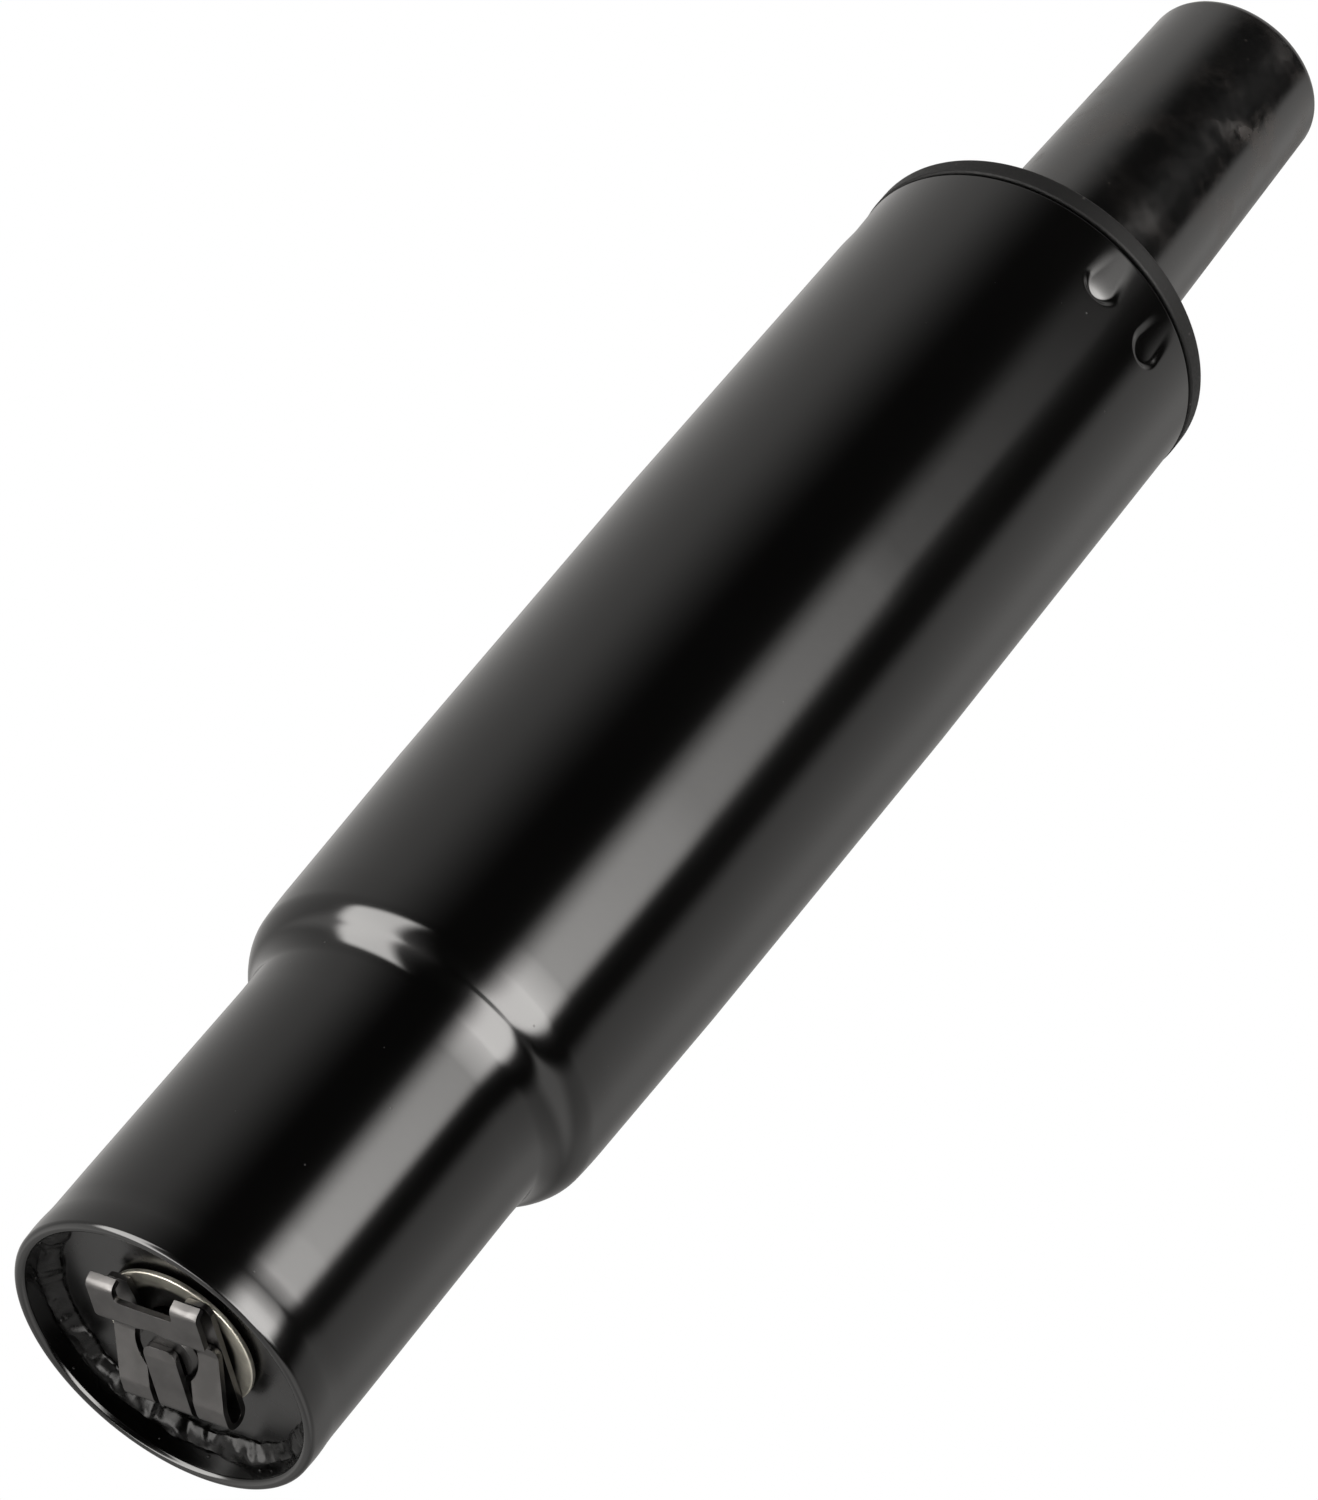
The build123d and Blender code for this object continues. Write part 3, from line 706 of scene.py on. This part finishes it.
# How far the washer's rim is dished, the play in its bore, the width of its flat over its own, and
# the set-back of its bend over its edge's
WASHER_DISH = 0.5 * MM
WASHER_PLAY = 0.2 * MM
WASHER_FLAT = 14.8 / 19.6
WASHER_BEND = 3


class GASLIFT_OT_washer(bpy.types.Operator):
    """Model the dished washer under the clip"""

    bl_idname = "gaslift.washer"
    bl_label = "Washer"

    steps: count("Steps", "Faces round the washer", 192)
    arc: arc_faces(4)

    def execute(self, context):
        s = context.scene.gaslift_bottom
        outside = reach("clip_washer")
        roof = top("clip_washer")
        foot = bottom("clip_washer")
        sheet = roof - foot - WASHER_DISH
        flat = outside * WASHER_FLAT
        bore = reach("release_button") + WASHER_PLAY
        bend = s.washer_edge * WASHER_BEND
        corners = [
            (bore, roof - sheet, s.washer_edge),
            (flat, roof - sheet, bend),
            (outside, foot, s.washer_edge),
            (outside, foot + sheet, s.washer_edge),
            (flat, roof, bend),
            (bore, roof, s.washer_edge),
        ]
        obj = weighted(object_of(ring(corners, self.arc, self.steps), "washer"))
        keep(obj, "rod", washer_zinc(context), "washer_zinc", "clip_washer")
        return {"FINISHED"}


class GASLIFT_OT_clip(bpy.types.Operator):
    """Round the edges of the folded spring clip"""

    bl_idname = "gaslift.clip"
    bl_label = "Spring clip"

    crease: angle("Crease", "Angle above which an edge is rounded", 35)
    arc: arc_faces(3)

    def execute(self, context):
        s = context.scene.gaslift_bottom
        bm = bmesh.new()
        bm.from_mesh(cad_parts["retaining_clip"].data)
        bmesh.ops.remove_doubles(bm, verts=bm.verts, dist=SAME_CORNER)
        bmesh.ops.dissolve_limit(
            bm,
            verts=bm.verts,
            edges=bm.edges,
            angle_limit=FLAT_ANGLE,
            use_dissolve_boundaries=False,
        )
        sharp = [
            edge
            for edge in bm.edges
            if len(edge.link_faces) == 2 and edge.calc_face_angle() > self.crease
        ]
        bmesh.ops.bevel(
            bm,
            geom=sharp,
            offset=s.clip_edge,
            offset_type="OFFSET",
            segments=self.arc,
            profile=0.5,
            affect="EDGES",
            material=-1,
            clamp_overlap=True,
        )
        obj = weighted(object_of(bm, "spring_clip"))
        keep(obj, "rod", clip_steel(context), "clip_steel", "retaining_clip")
        return {"FINISHED"}


class NodeBuilder:
    """Adds and links the nodes of a material or of the world."""

    def __init__(self, tree):
        self.tree = tree

    def add(self, kind, **values):
        node = self.tree.nodes.new(kind)
        for key, value in values.items():
            setattr(node, key, value)
        return node

    def put(self, socket, value):
        """Feeds a socket from another socket, or sets it to a number, place or colour."""
        if isinstance(value, bpy.types.NodeSocket):
            self.tree.links.new(value, socket)
        elif socket.type == "RGBA":
            socket.default_value = (*value, 1)
        else:
            socket.default_value = value

    def feed(self, node, **values):
        """Feeds or sets a node's sockets by name."""
        for key, value in values.items():
            self.put(node.inputs[key.replace("_", " ")], value)

    def calc(self, operation, *values):
        node = self.add("ShaderNodeMath", operation=operation)
        for socket, value in zip(node.inputs, values):
            self.put(socket, value)
        return node.outputs["Value"]

    def times(self, first, *others):
        product = first
        for value in others:
            product = self.calc("MULTIPLY", product, value)
        return product

    def length(self, place):
        """Distance of a place from the origin."""
        node = self.add("ShaderNodeVectorMath", operation="LENGTH")
        self.put(node.inputs[0], place)
        return node.outputs["Value"]

    def ramp(self, value, low, high, over):
        """Value brought softly from one range to another."""
        node = self.add("ShaderNodeMapRange", interpolation_type="SMOOTHSTEP")
        self.feed(
            node, Value=value, From_Min=over[0], From_Max=over[1], To_Min=low, To_Max=high
        )
        return node.outputs["Result"]

    def rise(self, value, start, end):
        """0 before start and 1 after end, softly. It falls where start is the larger."""
        if start < end:
            return self.ramp(value, 0, 1, (start, end))
        return self.ramp(value, 1, 0, (end, start))

    def blend(self, amount, first, second):
        """Mix of two shaders."""
        node = self.add("ShaderNodeMixShader")
        for socket, value in zip(node.inputs, (amount, first, second)):
            self.put(socket, value)
        return node.outputs[0]


class Surface(NodeBuilder):
    """Material with one shader and patterns on Object coordinates."""

    def __init__(self, name):
        self.material = bpy.data.materials.new(name)
        self.material.use_nodes = True
        super().__init__(self.material.node_tree)
        self.shader = self.tree.nodes["Principled BSDF"]
        self.place = self.add("ShaderNodeTexCoord").outputs["Object"]

    def scaled(self, x, y, z):
        """Object coordinates stretched along the axes."""
        node = self.add("ShaderNodeMapping")
        self.feed(node, Scale=(x, y, z), Vector=self.place)
        return node.outputs["Vector"]

    def noise(self, scale, detail=4, rough=0.5, place=None):
        node = self.add("ShaderNodeTexNoise")
        self.feed(
            node, Vector=place or self.place, Scale=scale, Detail=detail, Roughness=rough
        )
        return node.outputs["Fac"]

    def rings(self, scale, distortion):
        """Turning marks about the axis."""
        node = self.add("ShaderNodeTexWave", wave_type="RINGS", rings_direction="Z")
        self.feed(node, Vector=self.place, Scale=scale, Distortion=distortion, Detail=2.0)
        return node.outputs["Fac"]

    def dust(self, scale, size, left):
        """Small specks, of which a share is left, as 0 or 1 with a soft edge."""
        cells = self.add("ShaderNodeTexVoronoi")
        self.feed(cells, Vector=self.place, Scale=scale)
        core = size * 0.6
        speck = self.ramp(cells.outputs["Distance"], 1, 0, (core, size))
        pick = self.add("ShaderNodeSeparateColor")
        self.feed(pick, Color=cells.outputs["Color"])
        chosen = self.calc("GREATER_THAN", pick.outputs["Red"], 1 - left)
        return self.times(speck, chosen)

    def mix(self, amount, first, second):
        """Colour between two colours."""
        node = self.add("ShaderNodeMix", data_type="RGBA")
        self.feed(node, Factor=amount)
        colours = [socket for socket in node.inputs if socket.type == "RGBA"]
        for socket, value in zip(colours, (first, second)):
            self.put(socket, value)
        return [socket for socket in node.outputs if socket.type == "RGBA"][0]

    def tones(self, pattern, tint, change, over=WIDE):
        """Colour that a pattern varies between a tint and a lighter or darker tone of it."""
        return self.mix(self.rise(pattern, *over), tint, tuple(c * change for c in tint))

    def gloss(self, pattern, roughness, low, high, over=WIDE):
        """Roughness that a pattern varies between two shares of it."""
        return self.ramp(pattern, roughness * low, roughness * high, over)

    def bump(self, pattern, height, strength, under=None):
        node = self.add("ShaderNodeBump")
        self.feed(node, Height=pattern, Distance=height, Strength=strength)
        if under:
            self.feed(node, Normal=under)
        return node.outputs["Normal"]

    def finish(self, base, roughness, normal, metallic=0, ior=1.5):
        self.shader.inputs["Metallic"].default_value = metallic
        self.shader.inputs["IOR"].default_value = ior
        self.feed(self.shader, Base_Color=base, Roughness=roughness, Normal=normal)
        return self.material


def column_paint(context):
    """Satin gloss black stoving paint with a trace of orange peel, fine dust and faint smears."""
    f = context.scene.gaslift_finishes
    b = Surface("column paint")
    cloud = b.noise(34, detail=3)
    smear = b.noise(160, detail=3, place=b.scaled(1, 1, 0.12))
    specks = b.dust(620, size=0.1, left=0.02)
    base = b.mix(specks, b.tones(cloud, f.paint, 1.5), f.paint_dust)
    gloss = b.gloss(smear, f.paint_roughness, 0.95, 1.1, NARROW)
    rough = b.calc("ADD", gloss, b.times(specks, 0.25))
    peel = b.bump(b.noise(900, detail=2), 5 * MICRON, 0.3)
    wave = b.bump(b.noise(120, detail=1), 12 * MICRON, 0.3, under=peel)
    return b.finish(base, rough, wave)


def tube_coating(context):
    """Black coated tube, a little rougher, with brownish handling marks and fine specks."""
    f = context.scene.gaslift_finishes
    b = Surface("lift tube coating")
    marks = b.noise(170, detail=5, rough=0.6)
    where = b.noise(36, detail=2)
    patch = b.times(b.rise(marks, 0.42, 0.68), b.rise(where, 0.36, 0.6))
    specks = b.dust(560, size=0.15, left=0.1)
    base = b.mix(patch, f.tube_paint, f.smudge)
    base = b.mix(b.times(specks, 0.6), base, f.tube_dust)
    grain = b.noise(700, detail=2)
    gloss = b.gloss(grain, f.tube_roughness, 0.95, 1.08)
    rough = b.calc("ADD", gloss, b.times(patch, 0.17))
    scratch = b.noise(260, detail=4, place=b.scaled(1, 1, 0.03))
    uneven = b.bump(marks, 60 * MICRON, 0.3)
    fine = b.bump(grain, 4 * MICRON, 0.3, under=uneven)
    drawn = b.bump(scratch, 5 * MICRON, 0.3, under=fine)
    return b.finish(base, rough, drawn, ior=1.74)


def collar_plastic(context):
    """Matte black moulded plastic with a fine grain and a dusting of lint."""
    f = context.scene.gaslift_finishes
    b = Surface("collar plastic")
    grain = b.noise(2600, detail=3)
    cloud = b.noise(70, detail=3)
    specks = b.dust(650, size=0.2, left=0.1)
    base = b.mix(b.times(specks, 0.5), b.tones(cloud, f.plastic, 1.35), f.lint)
    rough = b.gloss(grain, f.plastic_roughness, 0.9, 1.1)
    return b.finish(base, rough, b.bump(grain, 10 * MICRON, 0.5), ior=1.26)


def weld_paint(context):
    """The column's paint where it ran thick and glossy over the weld."""
    f = context.scene.gaslift_finishes
    b = Surface("weld paint")
    lumps = b.noise(800, detail=3)
    pits = b.noise(520, detail=3)
    base = b.tones(pits, f.paint, 2.2, NARROW)
    rough = b.ramp(pits, 0.16, 0.34, NARROW)
    return b.finish(base, rough, b.bump(lumps, 60 * MICRON, 0.5), ior=1.24)


def plate_paint(context):
    """Black paint on the base plate, a little uneven in tone and gloss."""
    f = context.scene.gaslift_finishes
    b = Surface("plate paint")
    cloud = b.noise(150, detail=4)
    base = b.tones(cloud, f.paint, 1.8)
    rough = b.ramp(cloud, 0.2, 0.3, WIDE)
    return b.finish(base, rough, b.bump(b.noise(420, detail=3), 20 * MICRON, 0.4))


def clip_steel(context):
    """Dark tempered spring steel, finely scratched along the sheet."""
    f = context.scene.gaslift_finishes
    b = Surface("clip steel")
    scratch = b.noise(900, detail=4, place=b.scaled(1, 0.16, 1))
    base = b.tones(b.noise(260, detail=4), f.steel, 0.72)
    rough = b.ramp(scratch, 0.3, 0.46, WIDE)
    return b.finish(base, rough, b.bump(scratch, 12 * MICRON, 0.5), metallic=1)


def washer_zinc(context):
    """Zinc plated washer with a pale yellow cast, and painted shade that blackens its flat."""
    f = context.scene.gaslift_finishes
    b = Surface("washer zinc")
    spangle = b.noise(420, detail=4)
    plating = b.tones(spangle, f.zinc, 0.82)
    # Painted shade: the flat inside a wavy radius turns near black, for the clip's shadow
    away = b.length(b.scaled(1, 1, 0))
    shade_radius = b.calc("ADD", away, b.times(spangle, 0.6 * MM))
    base = b.mix(b.rise(shade_radius, f.painted_shade_start, f.painted_shade_end), f.painted_shade, plating)
    rough = b.ramp(b.noise(1600, detail=3), 0.42, 0.54, WIDE)
    return b.finish(base, rough, b.bump(spangle, 10 * MICRON, 0.4), metallic=1)


def button_zinc(context):
    """Plated steel button with turned rings and a worn top."""
    f = context.scene.gaslift_finishes
    b = Surface("button zinc")
    wear = b.noise(700, detail=5)
    base = b.tones(wear, f.rod, 1.35, NARROW)
    rough = b.ramp(wear, 0.2, 0.36, WIDE)
    return b.finish(base, rough, b.bump(b.rings(900, 0.6), 6 * MICRON, 0.5), metallic=1)


def ground_steel(name, tint, low, high):
    """Turned and ground steel, with rings about the axis."""
    b = Surface(name)
    cloud = b.noise(240, detail=4)
    base = b.tones(cloud, tint, 0.8)
    rough = b.ramp(cloud, low, high, WIDE)
    return b.finish(base, rough, b.bump(b.rings(700, 1.2), 8 * MICRON, 0.4), metallic=1)


def soft_grain(name, tint, roughness):
    """Rubber or nylon with a fine grain."""
    b = Surface(name)
    grain = b.noise(1800, detail=3)
    base = b.tones(b.noise(200), tint, 0.75)
    rough = b.gloss(grain, roughness, 0.9, 1.1)
    return b.finish(base, rough, b.bump(grain, 10 * MICRON, 0.4))


class GASLIFT_OT_inner_finishes(bpy.types.Operator):
    """Finish the pieces that keep their plain solids"""

    bl_idname = "gaslift.inner_finishes"
    bl_label = "Inner finishes"

    def execute(self, context):
        f = context.scene.gaslift_finishes
        steel = ground_steel("inner steel", tint=(0.45, 0.45, 0.455), low=0.22, high=0.36)
        bearing = ground_steel("bearing steel", tint=(0.55, 0.55, 0.56), low=0.1, high=0.2)
        rod = ground_steel("rod steel", tint=f.rod, low=0.22, high=0.34)
        alloy = ground_steel("piston alloy", tint=(0.62, 0.62, 0.64), low=0.25, high=0.38)
        rubber = soft_grain("seal rubber", tint=(0.02, 0.02, 0.02), roughness=0.5)
        nylon = soft_grain("cage nylon", tint=(0.62, 0.6, 0.52), roughness=0.45)
        slider = soft_grain("guide plastic", tint=(0.1, 0.1, 0.1), roughness=0.4)
        finishes = {
            plate_paint(context): ["base_plate"],
            rod: ["piston_rod", "release_pin"],
            bearing: ["lower_race", "upper_race", "bearing_balls", "thrust_washer"],
            steel: ["piston_washer", "seal_support_washer", "inner_cylinder", "top_plug"],
            alloy: ["piston_body", "rod_guide", "valve_body"],
            rubber: ["rubber_bumper", "piston_seal", "rod_seal", "valve_seals"],
            nylon: ["ball_cage"],
            slider: ["piston_guide_ring", "spacer_sleeve"],
        }
        for material, nodes in finishes.items():
            for name in nodes:
                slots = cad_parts[name].data.materials
                for index in range(len(slots)):
                    slots[index] = material
        return {"FINISHED"}


def unit(azimuth, elevation):
    """Direction at an azimuth from +X and an elevation, in degrees."""
    a = radians(azimuth)
    e = radians(elevation)
    return Vector((cos(a) * cos(e), sin(a) * cos(e), sin(e)))


# Square lamps: azimuth and elevation in degrees, and brightness
SOFT_BOXES = {"key": (-40, 48, 2.2), "side": (150, 35, 1.2)}
SOFT_BOX_DISTANCE = 1.5
SOFT_BOX_SIZE = 1.2


def soft_box(name, azimuth, elevation, brightness):
    """Square lamp of an even brightness for matte surfaces. The gloss has its own lamps."""
    place = unit(azimuth, elevation) * SOFT_BOX_DISTANCE
    lamp = bpy.data.lights.new(name, "AREA")
    lamp.size = SOFT_BOX_SIZE
    lamp.energy = brightness * pi * SOFT_BOX_SIZE * SOFT_BOX_SIZE
    obj = bpy.data.objects.new(name, lamp)
    bpy.context.scene.collection.objects.link(obj)
    obj.rotation_mode = "QUATERNION"
    obj.rotation_quaternion = (-place).to_track_quat("-Z", "Y")
    obj.location = place
    obj.visible_camera = False
    obj.visible_glossy = False


# How much darker the walls are in their dip and behind the screen, the ground's level over the
# walls', the shares of the right lamp's lower and upper part, how many degrees its upper part is
# narrower, how many degrees the left lamp leans, and the room's warm tint
DIP = 0.48
SCREEN = 0.98
GROUND = 1.1
LAMP_LOWER = 0.39
LAMP_UPPER = 0.61
LAMP_INSET = 6
LAMP_LEAN = 32
ROOM_TINT = (1, 0.98, 0.955)


def room_in_gloss(b, s):
    """Level of the room that glossy surfaces show, by direction.

    An edge is an azimuth in degrees from the dark side, or a height from -1 below to 1 above.
    """
    rise = b.rise
    times = b.times
    parts = b.add("ShaderNodeSeparateXYZ")
    b.put(parts.inputs[0], b.add("ShaderNodeTexCoord").outputs["Generated"])
    x, y, z = parts.outputs
    azimuth = times(b.calc("ARCTAN2", y, x), degrees(1))
    turn = b.calc("WRAP", b.calc("SUBTRACT", azimuth, degrees(s.dark_side)), 180, -180)

    screen = times(rise(turn, -99, -47), rise(turn, 56, 42), rise(z, 0.92, 0.74))
    dip = times(rise(turn, 92, 124), rise(turn, 179, 162))
    walls = b.calc("SUBTRACT", s.walls, times(dip, s.walls * DIP))
    walls = times(walls, b.calc("SUBTRACT", 1.0, times(screen, SCREEN)))
    ground = times(walls, rise(z, -0.15, -0.6), rise(z, -0.93, -0.72), GROUND)
    front = times(rise(turn, -92, -66), rise(turn, 4, -22))
    below = times(rise(z, -0.7, -0.9), b.calc("SUBTRACT", 1.0, front), s.below)

    inward = b.calc("ADD", turn, times(rise(z, 0.56, 0.62), LAMP_INSET))
    right = times(rise(turn, -20, 0), rise(inward, 28, 19), rise(z, -0.88, -0.83))
    lower = times(rise(z, 0.69, 0.5), LAMP_LOWER)
    upper = times(rise(z, 0.56, 0.36), LAMP_UPPER)
    right = times(right, b.calc("ADD", lower, upper), s.right_lamp)
    leaning = b.calc("SUBTRACT", turn, times(z, LAMP_LEAN))
    left = times(rise(leaning, -105, -95), rise(leaning, -53, -65), rise(z, 0.02, -0.16))
    lamps = b.calc("ADD", right, times(left, s.left_lamp))
    return b.calc("ADD", b.calc("ADD", walls, ground), b.calc("ADD", below, lamps))


def world_light(context):
    """White for the camera, even for matte surfaces, and a room with a dark side in gloss."""
    s = context.scene.gaslift_studio
    world = bpy.data.worlds.new("studio")
    context.scene.world = world
    world.use_nodes = True
    world.node_tree.nodes.clear()
    b = NodeBuilder(world.node_tree)

    def backdrop(strength, tint=(1, 1, 1)):
        node = b.add("ShaderNodeBackground")
        b.feed(node, Color=tint, Strength=strength)
        return node.outputs[0]

    ray = b.add("ShaderNodeLightPath").outputs
    room = backdrop(room_in_gloss(b, s), ROOM_TINT)
    around = b.blend(ray["Is Glossy Ray"], backdrop(s.fill), room)
    direct = b.calc("MAXIMUM", ray["Is Camera Ray"], ray["Is Transmission Ray"])
    output = b.add("ShaderNodeOutputWorld")
    b.feed(output, Surface=b.blend(direct, around, backdrop(s.background)))


def floor_material(s):
    """Pale floor, seen only from above, that fades into the white background far away."""
    material = bpy.data.materials.new("floor")
    material.use_nodes = True
    material.node_tree.nodes.clear()
    b = NodeBuilder(material.node_tree)
    distance = b.length(b.add("ShaderNodeTexCoord").outputs["Object"])
    pale = b.add("ShaderNodeBsdfDiffuse")
    b.feed(pale, Color=(s.floor_shade,) * 3)
    white = b.add("ShaderNodeEmission")
    far = b.rise(distance, s.fade_start, s.fade_end)
    fade = b.blend(far, pale.outputs[0], white.outputs[0])
    camera_ray = b.add("ShaderNodeLightPath").outputs["Is Camera Ray"]
    from_below = b.add("ShaderNodeNewGeometry").outputs["Backfacing"]
    from_above = b.calc("SUBTRACT", camera_ray, from_below)
    from_above.node.use_clamp = True
    clear = b.add("ShaderNodeBsdfTransparent")
    output = b.add("ShaderNodeOutputMaterial")
    b.feed(output, Surface=b.blend(from_above, clear.outputs[0], fade))
    return material


def camera(context):
    """Camera of the photograph, below and in front of the lift, which it shows lying askew."""
    place = Vector((-1.092, -546.780, -289.925)) * MM
    forward = Vector((0, 0.80922, 0.58750))
    right = Vector((0.76626, -0.37749, 0.51995))
    down = Vector((0.64253, 0.45018, -0.62008))
    focal = 5571.8
    long_side = 1500
    sensor = 36
    data = bpy.data.cameras.new("camera")
    data.sensor_fit = "VERTICAL"
    data.sensor_height = sensor
    data.sensor_width = sensor
    data.lens = focal * sensor / long_side
    data.clip_start = 10 * MM
    obj = bpy.data.objects.new("camera", data)
    context.scene.collection.objects.link(obj)
    turn = Matrix((right, -down, -forward)).transposed().to_4x4()
    obj.matrix_world = Matrix.Translation(place) @ turn
    context.scene.camera = obj


class GASLIFT_OT_stage(bpy.types.Operator):
    """Set up the floor, the lamps, the white background and the camera"""

    bl_idname = "gaslift.stage"
    bl_label = "Stage"

    steps: count("Steps", "Sides of the floor", 128)

    def execute(self, context):
        s = context.scene.gaslift_studio
        bm = bmesh.new()
        bmesh.ops.create_circle(bm, cap_ends=True, segments=self.steps, radius=s.floor_radius)
        bmesh.ops.recalc_face_normals(bm, faces=bm.faces)
        if bm.faces[:][0].normal.z < 0:
            bmesh.ops.reverse_faces(bm, faces=bm.faces)
        floor = object_of(bm, "floor", smooth=False)
        floor.data.materials.append(floor_material(s))
        floor.visible_diffuse = False
        floor.visible_glossy = False
        floor.visible_shadow = False
        for name, values in SOFT_BOXES.items():
            soft_box(name, *values)
        world_light(context)
        camera(context)
        context.scene.view_settings.view_transform = "Standard"
        return {"FINISHED"}


class GASLIFT_PT_panel(bpy.types.Panel):
    """Buttons that model the gas lift, in order"""

    bl_idname = "GASLIFT_PT_panel"
    bl_label = "Gas Lift"
    bl_space_type = "VIEW_3D"
    bl_region_type = "UI"
    bl_category = "Gas Lift"

    def draw(self, context):
        for operator in OPERATORS:
            self.layout.operator(operator.bl_idname)


GROUPS = {
    "gaslift_column": ColumnSizes,
    "gaslift_bush": BushSizes,
    "gaslift_tube": TubeSizes,
    "gaslift_bottom": BottomSizes,
    "gaslift_finishes": Finishes,
    "gaslift_studio": StudioSizes,
}

OPERATORS = [
    GASLIFT_OT_column,
    GASLIFT_OT_bush,
    GASLIFT_OT_lift_tube,
    GASLIFT_OT_button,
    GASLIFT_OT_weld,
    GASLIFT_OT_washer,
    GASLIFT_OT_clip,
    GASLIFT_OT_inner_finishes,
    GASLIFT_OT_stage,
]


def register():
    for group in GROUPS.values():
        bpy.utils.register_class(group)
    for name, group in GROUPS.items():
        setattr(bpy.types.Scene, name, bpy.props.PointerProperty(type=group))
    for operator in OPERATORS:
        bpy.utils.register_class(operator)
    bpy.utils.register_class(GASLIFT_PT_panel)


def unregister():
    bpy.utils.unregister_class(GASLIFT_PT_panel)
    for operator in reversed(OPERATORS):
        bpy.utils.unregister_class(operator)
    for name, group in GROUPS.items():
        delattr(bpy.types.Scene, name)
        bpy.utils.unregister_class(group)


def main():
    register()
    for operator in OPERATORS:
        call = getattr(bpy.ops.gaslift, operator.bl_idname.split(".")[1])
        call()


if __name__ == "__main__":
    main()
